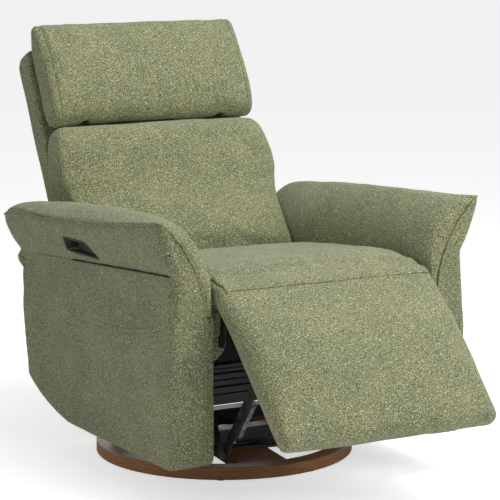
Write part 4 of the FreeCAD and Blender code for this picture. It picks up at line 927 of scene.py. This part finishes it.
@dataclass
class Knee:
    """The strip of cover cloth over the footrest's hinge, sewn to the pad in front."""

    half: float = 262.0
    radius: float = 37.0
    lip_radius: float = 38.9
    lip_angle: float = 72.0
    stitch_angle: float = 134.0
    seat_run: float = 34.0
    seat_slope: float = 0.40
    corner: float = 22.0
    corner_sink: float = 9.0
    thickness: float = 1.6

    def make(self, wardrobe: Wardrobe) -> None:
        """Make the strip: over the seat's front edge, then round the axis to its stitches."""
        x = np.linspace(-self.half, self.half, 90)[:, None]
        lip = math.radians(self.lip_angle)
        lip_y = KNEE.y + self.lip_radius * math.cos(lip)
        lip_z = KNEE.z + self.lip_radius * math.sin(lip)
        share = np.linspace(0, 1, 12)[:-1]
        seat_y = lip_y + self.seat_run * (1 - share)
        seat_z = lip_z + (seat_y - lip_y) * self.seat_slope - 1.8 * (1 - share) ** 2
        angles = np.radians(np.linspace(self.lip_angle, self.stitch_angle, 26))
        shrink = np.linspace(self.lip_radius, self.radius - 1.4, 26)
        y = np.concatenate([seat_y, KNEE.y + shrink * np.cos(angles)])[None, :]
        z = np.concatenate([seat_z, KNEE.z + shrink * np.sin(angles)])[None, :]
        edge = 1 - np.clip((self.half + 6 - np.abs(x)) / self.corner, 0, 1)
        sink = self.corner_sink * (1 - np.sqrt(1 - edge ** 2))
        strip = grid_piece("knee_strip", np.stack([x + 0 * y, y + 0.4 * sink, z - sink], -1))
        walled(strip, self.thickness, 0.0)
        wardrobe.wear(strip, FINISHES[Slot.FABRIC])
        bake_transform(strip)
        LOG.info("knee_strip bends between seat and footrest")


FACE_RISE = 22.0       # how far the footrest's face is filled out
END_REACH = 11.0       # how much longer its lower end is than the solid
BACK_DRAW = 9.0        # how far its sides are drawn in behind
COVER_BOTTOM = 92.0    # lower edge of an arm cover
CORNER_RADIUS = 34.0   # round of its lower front corner


def footrest_form(points: np.ndarray) -> np.ndarray:
    """Fill the footrest's face out and draw its sides in behind.

    The face rises by a sine down the pad times a flat-topped curve across it. The back edge of
    each side goes in, more the further back a point is, and the lower end is longer.

    Args:
        points: points by 3 in the pad's upright frame.

    Returns:
        The moved points.
    """
    moved = points.copy()
    x, y, z = points.T
    down = np.sin(math.pi * np.clip(-z / 385, 0, 1))
    across = np.clip(1 - (np.abs(x) / 290) ** 6, 0, 1)
    face = np.clip((6 - y) / 30, 0, 1)
    moved[:, 1] -= FACE_RISE * down * across * face
    moved[:, 2] -= END_REACH * np.clip((-z - 200) / 170, 0, 1) ** 2
    behind = np.clip((y + 16) / 40, 0, 1) ** 1.5 * np.clip(-z / 60, 0, 1)
    rim = np.clip((np.abs(x) - 215) / 60, 0, 1)
    moved[:, 0] -= np.sign(x) * BACK_DRAW * behind * rim
    return moved


def arm_form(points: np.ndarray) -> np.ndarray:
    """Round the arm cover's lower front corner by a quarter circle.

    Args:
        points: points by 3.

    Returns:
        The moved points.
    """
    moved = points.copy()
    reach = np.clip((-431 - points[:, 1]) / CORNER_RADIUS, 0, 1)
    rise = CORNER_RADIUS * (1 - np.sqrt(1 - reach ** 2))
    fade = np.clip(1 - (points[:, 2] - COVER_BOTTOM) / 90, 0, 1)
    moved[:, 2] += rise * fade
    return moved


def cross_channel(wardrobe: Wardrobe) -> None:
    """A folded sheet-steel channel between the front glide posts, with two ribs in its web.

    Its form is a guess: the photograph shows only that the gap there is full of black steel.
    """
    outside = [(-120, 142), (-120, 166), (-124, 170), (-124, 184), (-120, 188), (-120, 200),
               (-124, 204), (-124, 216), (-120, 220), (-120, 232), (-88, 232)]
    inside = [(-88, 229.5), (-117.5, 229.5), (-117.5, 144.5), (-88, 144.5), (-88, 142)]
    profile = np.array(outside + inside)
    x = np.linspace(-238, 238, 9)
    points = np.empty((len(x), len(profile), 3))
    points[..., 0] = x[:, None]
    points[..., 1:] = profile[None]
    channel = grid_piece("glide_cross_channel", points, loop=True)
    closed_up(channel, fill=True)
    channel.data.polygons.foreach_set("use_smooth", np.zeros(len(channel.data.polygons), bool))
    edge = channel.modifiers.new("Edge", "BEVEL")
    edge.width = 0.7 * MM
    edge.segments = 2
    Pad.settle(channel)
    wardrobe.wear(channel, FINISHES[Slot.BLACK_STEEL])
    settled(channel, "turntable")


def front_corner(side: Side, wardrobe: Wardrobe) -> None:
    """Cover cloth turned over the box's front corner beside the arm, rounded at its foot."""
    up = np.linspace(0, 1, 30)[:, None]
    over = np.linspace(0, 1, 16)[None, :]
    z = 326 + 108 * up
    inner = 236 + 26 * np.maximum(0, 1 - up / 0.3) ** 2
    x = inner + (275 - inner) * over
    y = -427.6 - 3.2 * np.sin(math.pi * np.clip(over, 0.02, 0.98)) ** 0.5 - 0.8 * up
    corner = grid_piece(f"front_corner_{side.hand}",
                        np.stack([side.value * x, y + 0 * up, z + 0 * over], -1))
    walled(corner, 2.0)
    wardrobe.wear(corner, FINISHES[Slot.FABRIC])
    settled(corner, "seat")


@dataclass
class Upholstery:
    """Seat, footrest, lumbar, headrest and shell."""

    side_seam: float = 262.0

    def make(self, nodes: dict[str, bpy.types.Object], wardrobe: Wardrobe) -> None:
        """Make each stuffed piece and its stitches, in order."""
        seat = Pad("seat_cushion", "seat_cushion_cloth", "seat", LEVEL, cap=8.0, waves=1.5,
                   proud=3.0, seams=(Seam(0, 256.0, 2.0, 5.0, True),))
        seat.make(nodes, wardrobe)
        footrest = Pad("footrest_pad", "footrest_pad_cloth", "footrest", KNEE, cap=6.0,
                       waves=1.4, proud=20.0, shape=footrest_form)
        pad = footrest.make(nodes, wardrobe)
        lumbar = Pad("lumbar_cushion", "lumbar_cushion_cloth", "backrest", BACK, cap=9.0,
                     waves=2.0, proud=6.0, pressure=5.0, fill=0.8)
        lumbar.make(nodes, wardrobe)
        head = Pad("headrest_pad", "headrest_cloth", "headrest", BACK, cap=7.0, waves=1.8,
                   proud=6.0, fill=0.75,
                   seams=(Seam(0, self.side_seam, 2.2, 5.0, True, low=(-1e4, -1e4, 470)),))
        cushion = head.make(nodes, wardrobe)
        shell = Pad("back_shell", "back_shell_cloth", "backrest", BACK, voxel=6.0, smooth=6,
                    swells=False, subdivide=False, waves=1.2, proud=3.0,
                    seams=(Seam(0, 250.0, 1.5, 6.0, True, low=(-1e4, 100, -1e4)),))
        shell.make(nodes, wardrobe)
        Knee().make(wardrobe)
        self.knee_stitches(pad, wardrobe)
        self.side_seams(cushion, wardrobe)

    def knee_stitches(self, pad: bpy.types.Object, wardrobe: Wardrobe) -> None:
        """Dark stitches along the strip's edge across the footrest."""
        x = np.linspace(-262, 262, 160)
        angle = math.radians(135)
        guide = np.stack([x, np.full_like(x, -462 + 90 * math.cos(angle)),
                          np.full_like(x, 462 + 90 * math.sin(angle))], -1)
        way = np.array([0.0, -math.cos(angle), -math.sin(angle)])
        path = laid_on(tree_of(pad), guide, way, 0.9)
        SewnLine("knee_stitches", "footrest", 0.7, 7.0, 3.5).make(path, wardrobe, (0.2, 0.9, 0.5))

    def side_seams(self, cushion: bpy.types.Object, wardrobe: Wardrobe) -> None:
        """Piped seams down both sides of the headrest's face."""
        tree = tree_of(cushion)
        for side in Side:
            z = np.linspace(432, 676, 70)
            x = np.full_like(z, side.value * self.side_seam)
            guide = BACK.world(np.stack([x, np.full_like(z, -150.0), z], -1))
            way = BACK.world(np.array([0.0, 1.0, 0.0])) - BACK.world(np.zeros(3))
            path = laid_on(tree, guide, way, 0.2)
            SewnLine(f"headrest_seam_{side.hand}", "headrest", 0.8).make(
                path, wardrobe, (1.0, 0.1, 0.1))


@dataclass(frozen=True)
class Lamp:
    """A square soft lamp aimed at the middle of the chair."""

    name: str
    spot: tuple[float, float, float]
    watts: float
    size: float
    aim: tuple[float, float, float] = (0, 0, 0.5)

    def hang(self) -> None:
        """Add the lamp to the scene."""
        lamp = bpy.data.lights.new(self.name, "AREA")
        lamp.energy = self.watts
        lamp.size = self.size
        holder = bpy.data.objects.new(self.name, lamp)
        holder.location = self.spot
        holder.rotation_euler = (Vector(self.aim) - Vector(self.spot)).to_track_quat(
            "-Z", "Y").to_euler()
        bpy.context.scene.collection.objects.link(holder)


LAMPS = (Lamp("key", (1.4, -2.7, 1.7), 38, 1.6),
         Lamp("fill", (-3.4, -1.2, 1.8), 14, 2.6),
         Lamp("top", (0.5, -0.9, 3.1), 60, 2.0))
WORLD_STRENGTH = 0.31  # light from the white surroundings; the camera sees them at 1
FLOOR_GLOW = 0.6       # added for the camera alone, so that the floor reads as white
FLOOR_HALF = 30        # metres from the middle to the floor's edge


def lights_and_floor() -> None:
    """Pale plain floor, white surroundings and three soft lamps."""
    world = bpy.data.worlds.new("studio")
    bpy.context.scene.world = world
    world.use_nodes = True
    tree = world.node_tree
    tree.nodes.clear()
    rays = add(tree, "ShaderNodeLightPath")
    seen = add(tree, "ShaderNodeMath", {0: rays.outputs["Is Camera Ray"],
                                        1: rays.outputs["Is Glossy Ray"]}, operation="MAXIMUM")
    plain = add(tree, "ShaderNodeBackground",
                {"Color": (1, 1, 1, 1), "Strength": WORLD_STRENGTH})
    white = add(tree, "ShaderNodeBackground", {"Color": (1, 1, 1, 1), "Strength": 1.0})
    mixed = add(tree, "ShaderNodeMixShader",
                {0: seen.outputs[0], 1: plain.outputs[0], 2: white.outputs[0]})
    add(tree, "ShaderNodeOutputWorld", {0: mixed.outputs[0]})
    for lamp in LAMPS:
        lamp.hang()
    mesh = bpy.data.meshes.new("floor")
    corners = [(x * FLOOR_HALF, y * FLOOR_HALF, 0)
               for x, y in ((-1, -1), (1, -1), (1, 1), (-1, 1))]
    mesh.from_pydata(corners, [], [(0, 1, 2, 3)])
    floor = bpy.data.objects.new("floor", mesh)
    bpy.context.scene.collection.objects.link(floor)
    paint = bpy.data.materials.new("studio_floor")
    paint.use_nodes = True
    tree = paint.node_tree
    shader = tree.nodes["Principled BSDF"]
    shader.inputs["Base Color"].default_value = (0.9, 0.9, 0.9, 1)
    shader.inputs["Roughness"].default_value = 0.9
    shader.inputs["Specular IOR Level"].default_value = 0.0
    glow = add(tree, "ShaderNodeEmission", {"Color": (1, 1, 1, 1), "Strength": FLOOR_GLOW})
    both = add(tree, "ShaderNodeAddShader", {0: shader.outputs[0], 1: glow.outputs[0]})
    rays = add(tree, "ShaderNodeLightPath")
    pick = add(tree, "ShaderNodeMixShader", {0: rays.outputs["Is Camera Ray"],
                                             1: shader.outputs[0], 2: both.outputs[0]})
    tree.links.new(pick.outputs[0], tree.nodes["Material Output"].inputs[0])
    mesh.materials.append(paint)


CAMERA_SPOT = (-2.6119, -4.7313, 1.3730)  # metres, fitted to the photograph's outlines
CAMERA_TILT = 80.71                       # degrees from straight down
CAMERA_TURN = -29.564                     # degrees about Z
CAMERA_LENS = 164.4                       # mm on the sensor's 36 mm


def photo_camera() -> None:
    """The camera at the photograph's place and angle."""
    lens = bpy.data.cameras.new("photo_camera")
    lens.sensor_width = 36.0
    lens.lens = CAMERA_LENS
    lens.clip_end = 200.0
    camera = bpy.data.objects.new("photo_camera", lens)
    camera.location = CAMERA_SPOT
    camera.rotation_euler = (math.radians(CAMERA_TILT), 0.0, math.radians(CAMERA_TURN))
    bpy.context.scene.collection.objects.link(camera)
    bpy.context.scene.camera = camera


def main() -> None:
    """Build the chair around its frame."""
    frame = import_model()
    nodes = frame["nodes"]
    bpy.context.scene.view_settings.view_transform = "Standard"
    photo_camera()
    lights_and_floor()
    wardrobe = Wardrobe()
    wardrobe.dress_nodes(nodes)
    for side in Side:
        Arm(side).make(nodes, wardrobe)
        front_corner(side, wardrobe)
    Pocket().make(wardrobe)
    cross_channel(wardrobe)
    Upholstery().make(nodes, wardrobe)


if __name__ == "__main__":
    logging.basicConfig(level=logging.INFO)
    main()
